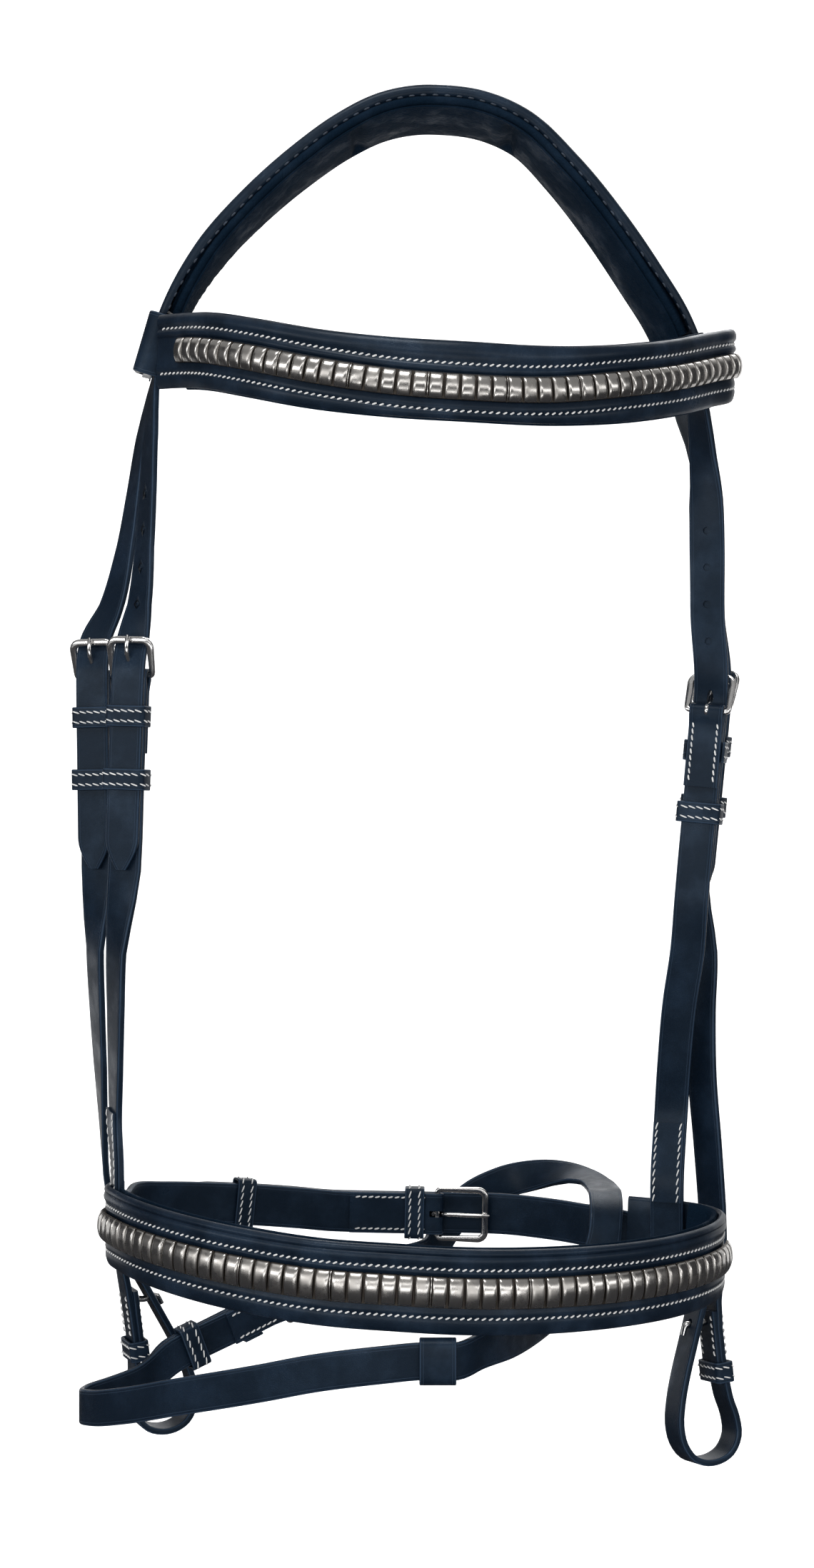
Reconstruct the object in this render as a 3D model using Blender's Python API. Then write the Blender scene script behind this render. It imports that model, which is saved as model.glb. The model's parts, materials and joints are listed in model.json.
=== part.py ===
"""English horse bridle: padded crown, clincher browband, clincher noseband and flash strap.

Every strap is a loft: its section turns, narrows or thins along the route, so no bevelled curve holds it.
A route is a table of places, as shares of the half span, the reach and the hang, and of the way the strap's
width points there. Each buckled pair of straps is laid out round one seat, whose origin is the heel bar.
X runs to the right of someone who faces the horse, +Y towards the horse's neck, +Z up. Sizes are in metres.
"""

import math
from collections import namedtuple

import bmesh
import bpy
from mathutils import Matrix, Vector

# Driving sizes of the whole bridle
HALF_SPAN = 0.116
REACH = 0.085
HANG = 0.490
ROUTE_RISE = 0.0012
GAP = 0.0003
FREE_GAP = 0.0005
SEWN_GAP = 0.0007
OVERRUN = 0.002

# Crown
CROWN_WIDTH = 0.0446
CROWN_FOOT_WIDTH = 0.0268
CROWN_THICK = 0.003
CROWN_PAD_WIDTH = 0.0442
CROWN_PAD_FOOT_WIDTH = 0.024
CROWN_PAD_THICK = 0.0066
CROWN_FLAT = 0.016
POINT_SEWN = 0.024
POINT_SEWN_END = 0.003
BROW_LOOP_AT = 0.0115
BROW_LOOP_CLEAR = 0.0013

# Half-inch straps
STRAP_WIDTH = 0.0127
STRAP_THICK = 0.0024
SKIVED_THICK = 0.0012
POINT_THICK = 0.0022
POINT_LENGTH = 0.070
TURN_BACK = 0.028
HOLE_RADIUS = 0.0014
HOLE_PITCH = 0.0135
FIRST_HOLE = 0.026
SLOT_SIDE_GAP = 0.0004

# Buckles
WIRE_RADIUS = 0.0010
BUCKLE_LENGTH = 0.0125
CHIN_BUCKLE_LENGTH = 0.0186
BUCKLE_SIDE_GAP = 0.0005
TONGUE_RADIUS = 0.0008
TONGUE_TIP = 0.0016
HEEL_CORNER = 0.0012
FAR_CORNER = 0.0028
KEEPER_CORNER = 0.0008
FLASH_LOOP_CORNER = 0.0018
BROW_LOOP_CORNER = 0.0030
KEEPER_CLEAR = 0.0004

# Keepers
KEEPER_WIDTH = 0.0076
KEEPER_THICK = 0.0010
KEEPER_AT = 0.0148
RUNNER_AT = 0.0375
CHIN_KEEPER_AT = 0.0100
CHIN_RUNNER_AT = 0.0780
BILLET_KEEPER_AT = 0.0045

# Browband and noseband
BROW_WIDTH = 0.0266
BROW_BEAD_HEIGHT = 0.0089
BROW_BEAD_PITCH = 0.0055
BROW_BEAD_DROP = 0.0025
NOSE_WIDTH = 0.0290
NOSE_BEAD_HEIGHT = 0.0105
NOSE_BEAD_PITCH = 0.0057
BEAD_DEPTH = 0.0024
BAND_THICK = 0.0026
BAND_PAD_THICK = 0.0038
BAND_PAD_LIP = 0.0002
BROW_LOOP_HEIGHT = 0.0225
BROW_LOOP_THICK = 0.0020

# Chin strap, bit loops and flash strap
CHIN_WIDTH = 0.0159
CHIN_POINT_LENGTH = 0.107
CHIN_TURN_BACK = 0.034
BIT_LOOP_LENGTH = 0.0275
BIT_LOOP_WIDTH = 0.0225
BILLET_STRAIGHT = 0.030
HOOK_AT = 0.0215
HOOK_RADIUS = 0.0012
HOOK_DROP = 0.0050
HANGER_FROM_LEFT = 0.0245
HANGER_FROM_RIGHT = 0.0165
LINING_BESIDE = 0.0095
SAFE_THICK = 0.0020
FLASH_LOOP_WIDTH = 0.0124
FLASH_LOOP_THICK = 0.0012
FLASH_LOOP_DEPTH = 0.0044

# Sections, as shares of half the width and of the thickness
STRAP_EDGE_share = 0.3
PAD_shares = [(1, 0), (0.95, 0.5), (0.74, 0.86), (0.34, 1), (-0.34, 1), (-0.74, 0.86), (-0.95, 0.5), (-1, 0)]
BEAD_shares = [(1, 0), (0.94, 0.62), (0.5, 1), (-0.5, 1), (-0.94, 0.62), (-1, 0)]
GROOVE_share = 0.55
GROOVE_HEIGHT_share = 0.95
TIP_LENGTH_share = 0.9
STRAP_STEPS = 2
BAND_STEPS = 2

LEFT, RIGHT = "left", "right"
Row = namedtuple("Row", "place across steps", defaults=(STRAP_STEPS,))
Station = namedtuple("Station", "place run across face")
Finish = namedtuple("Finish", "color roughness metallic")

LEATHER = Finish((0.010, 0.016, 0.030, 1), 0.42, 0)
LINING = Finish((0.014, 0.021, 0.036, 1), 0.62, 0)
STEEL = Finish((0.62, 0.61, 0.60, 1), 0.22, 1)
NICKEL = Finish((0.58, 0.55, 0.52, 1), 0.24, 1)

# Routes: x, y and z shares, then the plan angle in degrees of the strap's width or the bead row's drop
CROWN_LEFT_shares = [
    (-0.874, 0.033, 0.200, 98), (-0.852, 0.024, 0.178, 96), (-0.791, 0, 0.144, 93), (-0.690, 0, 0.107, 90),
    (-0.553, 0, 0.072, 90), (-0.401, 0, 0.041, 90), (-0.268, 0, 0.019, 90), (-0.150, 0, 0.0055, 90),
]
CROWN_RIGHT_shares = [
    (0.170, 0, 0.0045, 90), (0.296, 0, 0.018, 91), (0.424, 0.012, 0.047, 94), (0.556, 0.035, 0.085, 98),
    (0.678, 0.071, 0.126, 103), (0.762, 0.106, 0.157, 107), (0.817, 0.141, 0.188, 110),
    (0.838, 0.160, 0.214, 112),
]
POINT_shares = {
    "left_cheek": [
        (-0.906, 0.095, 0.232, -70), (-0.930, 0.085, 0.272, -65), (-0.957, 0.075, 0.314, -58),
        (-1.003, 0.065, 0.360, -42),
    ],
    "left_noseband": [
        (-0.868, -0.094, 0.236, -66), (-0.874, -0.118, 0.276, -62), (-0.883, -0.136, 0.318, -58),
        (-0.898, -0.150, 0.360, -46),
    ],
    "right_cheek": [
        (0.875, 0.235, 0.250, 120), (0.887, 0.262, 0.282, 148), (0.893, 0.276, 0.320, 162),
        (0.899, 0.284, 0.366, 160),
    ],
    "right_noseband": [
        (0.867, 0.078, 0.250, 132), (0.877, 0.068, 0.280, 152), (0.880, 0.068, 0.318, 164),
        (0.880, 0.068, 0.366, 164),
    ],
}
SEAT_shares = {
    "left_cheek": ((-1.047, 0.059, 0.412), (0.012, 0, -1), (0.94, -0.34, 0)),
    "left_noseband": ((-0.918, -0.153, 0.412), (-0.035, 0, -1), (0.94, -0.34, 0)),
    "right_cheek": ((0.908, 0.290, 0.432), (-0.10, 0, -1), (-0.87, 0.5, 0)),
    "right_noseband": ((0.880, 0.071, 0.437), (-0.09, 0, -1), (-0.94, 0.34, 0)),
    "chin": ((0.032, 0.824, 0.8335), (-1, 0, 0.02), (0, 0, 1)),
    "flash": ((-0.474, 0.388, 0.890), (-0.845, -0.39, -0.36), (0, 0, 1)),
}
LOWER_shares = {
    "left_cheek": [
        (-1.056, 0.094, 0.615, -61), (-1.053, 0.141, 0.660, -65), (-1.047, 0.190, 0.705, -70),
        (-1.042, 0.235, 0.745, -78), (-1.036, 0.278, 0.785, -84), (-1.018, 0.318, 0.825, -80),
    ],
    "left_noseband": [
        (-0.972, -0.125, 0.615, -56), (-0.976, -0.094, 0.660, -62), (-0.980, -0.050, 0.705, -67),
        (-0.982, -0.012, 0.742, -72),
    ],
    "right_cheek": [
        (0.880, 0.305, 0.620, 147), (0.878, 0.322, 0.665, 142), (0.884, 0.340, 0.715, 138),
        (0.902, 0.352, 0.765, 136), (0.918, 0.362, 0.815, 134), (0.925, 0.352, 0.848, 124),
    ],
    "right_noseband": [
        (0.822, 0.130, 0.615, 168), (0.800, 0.200, 0.660, 166), (0.788, 0.262, 0.705, 162),
        (0.781, 0.310, 0.745, 160),
    ],
}
BILLET_shares = {
    LEFT: ((-0.957, 0.430, 0.936), (0.12, 0.04, -1), (0.342, -0.94, 0)),
    RIGHT: ((0.938, 0.285, 0.947), (0.10, -0.05, -1), (-0.38, 0.925, 0)),
}
BIT_LOOP_shares = [
    (0, 0), (0.20, 0.03), (0.46, 0.11), (0.72, 0.11), (0.92, -0.05), (1, -0.28), (1, -0.50), (0.92, -0.72),
    (0.72, -0.88), (0.46, -0.92), (0.15, -0.85), (-0.20, -0.71), (-0.55, -0.54), (-0.90, -0.37), (-1.12, -0.26),
]
BROWBAND_shares = [
    (-0.860, -0.221, 0.176, 0), (-0.800, -0.318, 0.1777, 0), (-0.702, -0.494, 0.1825, 0),
    (-0.579, -0.659, 0.1907, 0.02), (-0.341, -0.847, 0.2042, 0.34), (-0.112, -0.929, 0.2115, 0.8),
    (0.115, -0.941, 0.2148, 1), (0.345, -0.859, 0.2156, 0.8), (0.581, -0.682, 0.2104, 0.2),
    (0.789, -0.388, 0.1984, 0), (0.922, -0.130, 0.186, 0), (0.978, -0.010, 0.181, 0),
    (0.992, 0.075, 0.179, 0), (0.980, 0.180, 0.177, 0), (0.952, 0.285, 0.176, 0),
]
NOSEBAND_shares = [
    (-1.018, 0.225, 0.8195), (-1.036, 0.110, 0.819), (-1.042, 0, 0.8188), (-0.993, -0.212, 0.8193),
    (-0.923, -0.388, 0.8208), (-0.765, -0.624, 0.8252), (-0.572, -0.800, 0.8302), (-0.339, -0.941, 0.8346),
    (-0.112, -1, 0.8368), (0.114, -0.988, 0.8398), (0.343, -0.906, 0.8418), (0.578, -0.741, 0.8428),
    (0.780, -0.506, 0.8425), (0.894, -0.282, 0.8415), (0.945, -0.080, 0.841), (0.955, 0.060, 0.840),
    (0.922, 0.180, 0.839), (0.858, 0.255, 0.838), (0.765, 0.315, 0.837), (0.655, 0.370, 0.836),
]
CHIN_LEFT_shares = [
    (-0.945, 0.330, 0.8125), (-0.870, 0.480, 0.8155), (-0.745, 0.620, 0.8195), (-0.580, 0.728, 0.8240),
    (-0.410, 0.790, 0.8285),
]
CHIN_RIGHT_shares = [
    (0.600, 0.422, 0.8345), (0.520, 0.515, 0.8340), (0.440, 0.622, 0.8335), (0.355, 0.725, 0.8335),
    (0.270, 0.805, 0.8335),
]
FLASH_OVER_shares = [
    (-0.278, 0.500, 0.8680, (0.30, 0.10, 0.95)), (-0.155, 0.600, 0.8655, (0.10, 0.10, 1)),
    (-0.050, 0.770, 0.8685, (0, 0.10, 1)), (0.020, 0.930, 0.8650, (-0.20, 0.05, 1)),
    (0.075, 1.010, 0.8460, (-0.55, 0, 0.80)), (0.150, 1.050, 0.8270, (-0.50, 0, 0.85)),
    (0.250, 1.050, 0.8150, (-0.25, 0, 0.95)), (0.350, 1.000, 0.8080, (0.05, 0.40, 0.90)),
    (0.440, 0.920, 0.8040, (0.45, 0.55, 0.60)), (0.510, 0.820, 0.8035, (0.80, 0.45, 0.25)),
    (0.555, 0.700, 0.8050, (0.90, 0.40, 0)), (0.574, 0.560, 0.8070, (0.92, 0.38, 0)),
    (0.576, 0.410, 0.8090, (0.92, 0.38, 0)), (0.572, 0.300, 0.8190, (0.90, 0.35, 0.05)),
    (0.556, 0.230, 0.8430, (0.82, 0.25, 0.40)), (0.500, 0.140, 0.8660, (0.60, 0.10, 0.75)),
    (0.420, -0.060, 0.8780, (0.30, 0, 0.95)), (0.330, -0.330, 0.8830, (0.10, 0, 1)),
    (0.240, -0.620, 0.8835, (0, 0, 1)), (0.150, -0.835, 0.8830, (0, 0, 1)),
]
FLASH_FRONT_shares = [
    (-0.135, -0.970, 0.8880, (0, 0, 1)), (-0.340, -0.915, 0.8960, (0, 0, 1)),
    (-0.491, -0.850, 0.9050, (0, 0, 1)), (-0.757, -0.640, 0.9230, (0, 0, 1)),
    (-0.931, -0.440, 0.9370, (0, 0, 1)), (-1.035, -0.285, 0.9445, (0, 0, 1)),
    (-1.072, -0.195, 0.9465, (0, 0, 1)), (-1.060, -0.115, 0.9465, (0, 0, 1)),
    (-1.000, -0.045, 0.9440, (0, 0, 1)), (-0.910, 0.050, 0.9385, (0, 0, 1)),
]
FLASH_LOOP_shares = (0.020, -0.950, 0.8864)


def clear_scene():
    for obj in list(bpy.data.objects):
        bpy.data.objects.remove(obj, do_unlink=True)


def make_collection(name):
    found = bpy.data.collections.new(name)
    bpy.context.scene.collection.children.link(found)
    return found


clear_scene()
BRIDLE = make_collection("horse_bridle")
CUTTERS = make_collection("cutters")


def add_object(name, data, collection=None, at=None):
    obj = bpy.data.objects.new(name, data)
    (collection or BRIDLE).objects.link(obj)
    if at is not None:
        obj.location = at
    return obj


def give_material(obj, finish):
    material = bpy.data.materials.new(obj.name)
    material.use_nodes = True
    shader = material.node_tree.nodes["Principled BSDF"]
    shader.inputs["Base Color"].default_value = finish.color
    shader.inputs["Roughness"].default_value = finish.roughness
    shader.inputs["Metallic"].default_value = finish.metallic
    obj.data.materials.append(material)


def spot(shares):
    """The place that x, y and z shares stand for; the hang runs down from inside the crown's pad."""
    x, y, z = shares[:3]
    return Vector((x * HALF_SPAN, y * REACH, ROUTE_RISE - z * HANG))


def level(degrees):
    """A strap's width lying level, at this plan angle."""
    turn = math.radians(degrees)
    return Vector((math.cos(turn), math.sin(turn), 0))


def hung_rows(table, steps=STRAP_STEPS):
    return [Row(spot(line), level(line[3]), steps) for line in table]


def aimed_rows(table, steps=STRAP_STEPS):
    return [Row(spot(line), Vector(line[3]), steps) for line in table]


def level_rows(table, across, steps):
    return [Row(spot(line), Vector(across), steps) for line in table]


def slopes(places):
    """The route's direction at each of its places, weighted towards the nearer neighbour."""
    found = []
    for k, place in enumerate(places):
        before, after = places[max(k - 1, 0)], places[min(k + 1, len(places) - 1)]
        back, ahead = (place - before).length, (after - place).length
        if back == 0 or ahead == 0:
            found.append((after - before).normalized())
        else:
            found.append(((place - before) / back * ahead + (after - place) / ahead * back) / (back + ahead))
    return found


def lay(rows):
    """Stations along the smooth route through the rows."""
    places = [Vector(row.place) for row in rows]
    aims = slopes(places)
    points, widths = [], []
    for k in range(len(rows) - 1):
        span = (places[k + 1] - places[k]).length
        for step in range(rows[k].steps):
            t = step / rows[k].steps
            start, end = 2 * t**3 - 3 * t**2 + 1, 3 * t**2 - 2 * t**3
            leave, arrive = t**3 - 2 * t**2 + t, t**3 - t**2
            points.append(
                places[k] * start + places[k + 1] * end + aims[k] * span * leave + aims[k + 1] * span * arrive
            )
            widths.append(Vector(rows[k].across).lerp(Vector(rows[k + 1].across), t))
    points.append(places[-1])
    widths.append(Vector(rows[-1].across))
    return [square_up(point, run, width) for point, run, width in zip(points, slopes(points), widths)]


def square_up(place, run, across):
    run = run.normalized()
    across = (across - run * across.dot(run)).normalized()
    return Station(place, run, across, run.cross(across))


def shift(stations, out, side=0):
    return [s._replace(place=s.place + s.face * out + s.across * side) for s in stations]


def lengths(stations):
    total, found = 0, [0]
    for one, two in zip(stations, stations[1:]):
        total += (two.place - one.place).length
        found.append(total)
    return found


def station_at(stations, distance):
    """The station this far along, turned and placed between its neighbours."""
    marks = lengths(stations)
    k = max(i for i in range(len(marks) - 1) if marks[i] <= distance or i == 0)
    t = min(max((distance - marks[k]) / (marks[k + 1] - marks[k]), 0), 1)
    one, two = stations[k], stations[k + 1]
    place, run = one.place.lerp(two.place, t), one.run.lerp(two.run, t)
    return square_up(place, run, one.across.lerp(two.across, t))


def stretch(stations, start, end):
    """The part of a route between two distances along it."""
    marks = lengths(stations)
    inner = [s for s, mark in zip(stations, marks) if start + GAP < mark < end - GAP]
    return [station_at(stations, start), *inner, station_at(stations, end)]


def strap_section(width, thick):
    half, deep = width / 2, thick / 2
    edge = thick * STRAP_EDGE_share
    return [
        (half - edge, deep), (-half + edge, deep), (-half, deep - edge), (-half, -deep + edge),
        (-half + edge, -deep), (half - edge, -deep), (half, -deep + edge), (half, deep - edge),
    ]


def pad_section(width, thick):
    """Flat against the strap that it lines, crowned on the horse's side."""
    return [(across * width / 2, -deep * thick) for across, deep in PAD_shares]


def bead_section(height, depth):
    return [(across * height / 2, deep * depth) for across, deep in BEAD_shares]


def band_section(width, thick):
    return [(width / 2, -thick / 2), (width / 2, thick / 2), (-width / 2, thick / 2), (-width / 2, -thick / 2)]


def loft(name, stations, sections, finish, closed=False, origin=None, collection=None):
    """One solid through a section at each station, with flat ends or closed on itself."""
    bm = bmesh.new()
    rings = []
    at = origin or Vector()
    for station, section in zip(stations, sections):
        corners = [station.place + station.across * a + station.face * n - at for a, n in section]
        rings.append([bm.verts.new(corner) for corner in corners])
    pairs = list(zip(rings, rings[1:])) + ([(rings[-1], rings[0])] if closed else [])
    for one, two in pairs:
        for k in range(len(one)):
            j = (k + 1) % len(one)
            bm.faces.new((one[k], one[j], two[j], two[k]))
    if not closed:
        bm.faces.new(rings[0])
        bm.faces.new(rings[-1])
    bmesh.ops.recalc_face_normals(bm, faces=bm.faces)
    mesh = bpy.data.meshes.new(name)
    bm.to_mesh(mesh)
    bm.free()
    obj = add_object(name, mesh, collection, at=origin)
    give_material(obj, finish)
    return obj


def strap(name, stations, width, thick, finish=LEATHER):
    """A strap of one width and thickness, or with a list of either, one for each station."""
    count = len(stations)
    widths = width if isinstance(width, list) else [width] * count
    thicks = thick if isinstance(thick, list) else [thick] * count
    return loft(name, stations, [strap_section(w, t) for w, t in zip(widths, thicks)], finish)


def taper(stations, top, foot, turn, hold=0):
    """Widths that stay the foot's for the hold, widen to the top's at the turn and run back again."""
    marks = lengths(stations)
    found = []
    for mark in marks:
        near = (min(mark, marks[-1] - mark) - hold) / (turn - hold)
        ease = math.sin(min(max(near, 0), 1) * math.pi / 2)
        found.append(foot + (top - foot) * ease)
    return found


def wire(name, points, radius, finish, closed=False, origin=None, radii=None):
    """A bent wire with filled ends."""
    at = origin or Vector()
    data = bpy.data.curves.new(name, "CURVE")
    data.dimensions = "3D"
    data.bevel_depth = radius
    data.bevel_resolution = 1
    data.use_fill_caps = not closed
    spline = data.splines.new("POLY")
    spline.points.add(len(points) - 1)
    spline.use_cyclic_u = closed
    for k, point in enumerate(points):
        spline.points[k].co = (*(point - at), 1)
        spline.points[k].radius = radii[k] if radii else 1
    obj = add_object(name, data, at=origin)
    give_material(obj, finish)
    return obj


def cut(obj, cutter):
    cutter.display_type = "WIRE"
    cutter.hide_render = True
    modifier = obj.modifiers.new("cut_" + cutter.name, "BOOLEAN")
    modifier.operation = "DIFFERENCE"
    modifier.object = cutter


def oval_cutter(name, station, half_length, half_width, depth):
    """An egg-shaped punch, long way along the strap."""
    bm = bmesh.new()
    bmesh.ops.create_cone(bm, cap_ends=True, segments=8, radius1=1, radius2=1, depth=1)
    mesh = bpy.data.meshes.new(name)
    bm.to_mesh(mesh)
    bm.free()
    obj = add_object(name, mesh, CUTTERS)
    turn = Matrix((station.run * half_length, station.across * half_width, station.face * depth)).transposed()
    obj.matrix_world = Matrix.Translation(station.place) @ turn.to_4x4()
    return obj


def box_cutter(name, station, length, width, depth):
    bm = bmesh.new()
    bmesh.ops.create_cube(bm, size=1)
    mesh = bpy.data.meshes.new(name)
    bm.to_mesh(mesh)
    bm.free()
    obj = add_object(name, mesh, CUTTERS)
    turn = Matrix((station.run * length, station.across * width, station.face * depth)).transposed()
    obj.matrix_world = Matrix.Translation(station.place) @ turn.to_4x4()
    return obj


# A buckle seat: along runs down the strap from the heel bar, out leaves the horse


def make_seat(table):
    place, run, across = table
    return square_up(spot(place), Vector(run), Vector(across))


def on_seat(seat, along, out=0, side=0):
    return seat.place + seat.run * along + seat.face * out + seat.across * side


def moved(seat, along, out=0, side=0):
    return seat._replace(place=on_seat(seat, along, out, side))


def flipped(seat):
    """The same seat worked from its other side."""
    return seat._replace(across=-seat.across, face=-seat.face)


def bar_clear():
    return WIRE_RADIUS + GAP


def wrap_radius():
    """The outside of the skived leather where it turns round the heel bar."""
    return bar_clear() + SKIVED_THICK


def main_out():
    """How far out the middle of the buckle strap's main layer lies."""
    return wrap_radius() - STRAP_THICK / 2


def turn_back_out():
    return main_out() - STRAP_THICK / 2 - GAP / 2 - SKIVED_THICK / 2


def point_out():
    return wrap_radius() + GAP + POINT_THICK / 2


def bar_out():
    """How far out the frame's far bar lies, over the strap that passes under it."""
    return under_out() + POINT_THICK / 2 + GAP * 2 + WIRE_RADIUS


def under_out():
    return POINT_THICK / 2


def buckle_rows(seat, turn_back, straight):
    """From the stitched end, round the heel bar and down the main layer: rows and their thicknesses."""
    middle = bar_clear() + SKIVED_THICK / 2
    rows = [Row(on_seat(seat, turn_back, turn_back_out()), seat.across, 1)]
    thicks = [SKIVED_THICK]
    meet = middle * 3
    for along in (meet * 2, meet):
        rows.append(Row(on_seat(seat, along, turn_back_out()), seat.across, 1))
        thicks.append(SKIVED_THICK)
    arc = 6
    for k in range(arc + 1):
        turn = math.pi * k / arc
        place = on_seat(seat, -middle * math.sin(turn), -middle * math.cos(turn))
        rows.append(Row(place, seat.across, 1))
        thicks.append(SKIVED_THICK)
    for along in (meet, meet * 2, straight / 2, straight):
        rows.append(Row(on_seat(seat, along, main_out()), seat.across, 1))
        thicks.append(STRAP_THICK)
    return rows, thicks


def thick_list(rows, thicks, stations):
    """Thicknesses at the stations, from those at the first rows and the last of them after that."""
    found = []
    for k, row in enumerate(rows[:-1]):
        here = thicks[min(k, len(thicks) - 1)]
        there = thicks[min(k + 1, len(thicks) - 1)]
        found += [here + (there - here) * step / row.steps for step in range(row.steps)]
    found.append(thicks[min(len(rows), len(thicks)) - 1])
    return found[: len(stations)]


def tongue_slot(obj, seat, label):
    width = 2 * (TONGUE_RADIUS + SLOT_SIDE_GAP)
    length = wrap_radius() * 3
    at = moved(seat, length / 2 - wrap_radius() - OVERRUN)
    cut(obj, box_cutter(label + "_slot_cutter", at, length, width, 4 * (wrap_radius() + OVERRUN)))


def rounded_loop(low, high, half, low_corner, high_corner, steps=2):
    """Corners of a rounded rectangle from low to high one way and half to each side of the other."""
    found = []
    corners = ((high, half, high_corner, 0), (low, half, low_corner, 90))
    corners += ((low, -half, low_corner, 180), (high, -half, high_corner, 270))
    for a, b, radius, start in corners:
        a_mid = a - math.copysign(radius, a - (low + high) / 2)
        b_mid = b - math.copysign(radius, b)
        for step in range(steps + 1):
            turn = math.radians(start + 90 * step / steps)
            found.append((a_mid + radius * math.cos(turn), b_mid + radius * math.sin(turn)))
    return found


def buckle_frame(name, seat, length, strap_width, rise):
    """A wire frame: its heel bar on the seat's axis, its far bar raised out."""
    half = strap_width / 2 + BUCKLE_SIDE_GAP + WIRE_RADIUS
    outline = rounded_loop(0, length, half, HEEL_CORNER, FAR_CORNER)
    points = [on_seat(seat, -along, along * rise / length, side) for along, side in outline]
    return wire(name, points, WIRE_RADIUS, STEEL, closed=True, origin=seat.place)


def tongue(name, seat, length, rise):
    """A wire hooked round the heel bar, up through the strap and down on the far bar."""
    hook = WIRE_RADIUS + GAP + TONGUE_RADIUS
    rest = rise + WIRE_RADIUS + GAP + TONGUE_RADIUS
    path = []
    for turn in (-225, -170, -115, -60, -5):
        angle = math.radians(turn)
        path.append((-hook * math.cos(angle), hook * math.sin(angle)))
    path += [(-hook - TONGUE_RADIUS, hook * 0.9), (-length * 0.42, rest * 0.68), (-length * 0.58, rest * 0.93)]
    path += [(-length * 0.78, rest * 1.03), (-length, rest), (-length - TONGUE_TIP, rest * 0.95)]
    points = [on_seat(seat, along, out) for along, out in path]
    radii = [1] * (len(points) - 1) + [0.7]
    return wire(name, points, TONGUE_RADIUS, STEEL, origin=seat.place, radii=radii)


def band_round(name, middle, low, high, half, width, thick, corner, finish=LEATHER, open_at=None, origin=None):
    """A leather band round a strap: low to high out, half to each side, its width along the strap."""
    outline = rounded_loop(low - thick / 2, high + thick / 2, half + thick / 2, corner, corner)
    if open_at is not None:
        outline = outline[-3:] + outline[:3]
        outline = [(open_at, outline[0][1])] + outline + [(open_at, outline[-1][1])]
    places = [on_seat(middle, 0, out, side) for out, side in outline]
    count = len(places)
    stations = []
    for k, place in enumerate(places):
        if open_at is None:
            ahead, behind = places[(k + 1) % count], places[k - 1]
        else:
            ahead, behind = places[min(k + 1, count - 1)], places[max(k - 1, 0)]
        run = (ahead - behind).normalized()
        stations.append(Station(place, run, middle.run, run.cross(middle.run)))
    sections = [band_section(width, thick)] * count
    return loft(name, stations, sections, finish, closed=open_at is None, origin=origin)


def fixed_keeper(name, seat, along, width):
    """Sewn into the seam: it springs from the main layer's edges and spans the point strap."""
    middle = moved(seat, along)
    high = point_out() + POINT_THICK / 2 + KEEPER_CLEAR
    low = main_out() - STRAP_THICK / 2
    half = width / 2 + KEEPER_CLEAR
    return band_round(name, middle, low, high, half, KEEPER_WIDTH, KEEPER_THICK, KEEPER_CORNER, open_at=low)


def runner(name, seat, along, width, low=None):
    """A closed loop that slides on both layers."""
    middle = moved(seat, along)
    high = point_out() + POINT_THICK / 2 + KEEPER_CLEAR
    if low is None:
        low = main_out() - STRAP_THICK / 2 - KEEPER_CLEAR
    half = width / 2 + KEEPER_CLEAR
    return band_round(
        name, middle, low, high, half, KEEPER_WIDTH, KEEPER_THICK, KEEPER_CORNER, origin=middle.place
    )


def tip_widths(stations, width):
    """The English point: the last of the strap narrows to a rounded tip."""
    marks = lengths(stations)
    total, reach = marks[-1], width * TIP_LENGTH_share
    found = []
    for mark in marks:
        share = min((total - mark) / reach, 1)
        found.append(width * (0.3 + 0.7 * math.sin(share * math.pi / 2)))
    return found


def point_rows(seat, reach, threaded=True):
    """The point strap past a buckle: under the far bar, over the heel bar and on to its tip."""
    steep = (point_out() - under_out()) / BUCKLE_LENGTH
    rows = []
    if threaded:
        rows.append(Row(on_seat(seat, -BUCKLE_LENGTH, under_out()), seat.across, 1))
        rows.append(Row(on_seat(seat, -BUCKLE_LENGTH / 3, point_out() - BUCKLE_LENGTH * steep / 8), seat.across, 1))
    tip = STRAP_WIDTH * TIP_LENGTH_share
    for along in (wrap_radius(), reach / 3, reach * 0.66, reach - tip, reach - tip * 0.6, reach - tip * 0.25, reach):
        rows.append(Row(on_seat(seat, along, point_out()), seat.across, 1))
    return rows


def punch_holes(obj, stations, count, first, label):
    """Round holes up the point strap, counted back from the first."""
    for k in range(count):
        here = station_at(stations, first - k * HOLE_PITCH)
        cut(obj, oval_cutter(f"{label}_hole_{k}", here, HOLE_RADIUS, HOLE_RADIUS, STRAP_THICK * 3))


def tongue_hole(obj, seat, label):
    """The egg-shaped hole that the tongue stands in."""
    low, high = -BUCKLE_LENGTH * 0.62, -TONGUE_RADIUS
    at = moved(seat, (low + high) / 2, point_out() - STRAP_THICK / 2)
    half_width = TONGUE_RADIUS + SLOT_SIDE_GAP
    cut(obj, oval_cutter(f"{label}_egg_hole", at, (high - low) / 2, half_width, POINT_THICK * 4))


def crown_rows():
    """Left foot over the top to the right foot; a straight stretch at the top takes the mount."""
    lift = CROWN_PAD_THICK + GAP / 2
    half = CROWN_FLAT / 2
    fore = Vector((0, 1, 0))
    left, right = [
        [row._replace(place=row.place + Vector((0, 0, lift - ROUTE_RISE))) for row in hung_rows(table)]
        for table in (CROWN_LEFT_shares, CROWN_RIGHT_shares)
    ]
    top = [Row(Vector((half * share, 0, lift)), fore, 1) for share in (-1, -0.9, 0.9)]
    top.append(Row(Vector((half, 0, lift)), fore))
    return left + top + right


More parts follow.
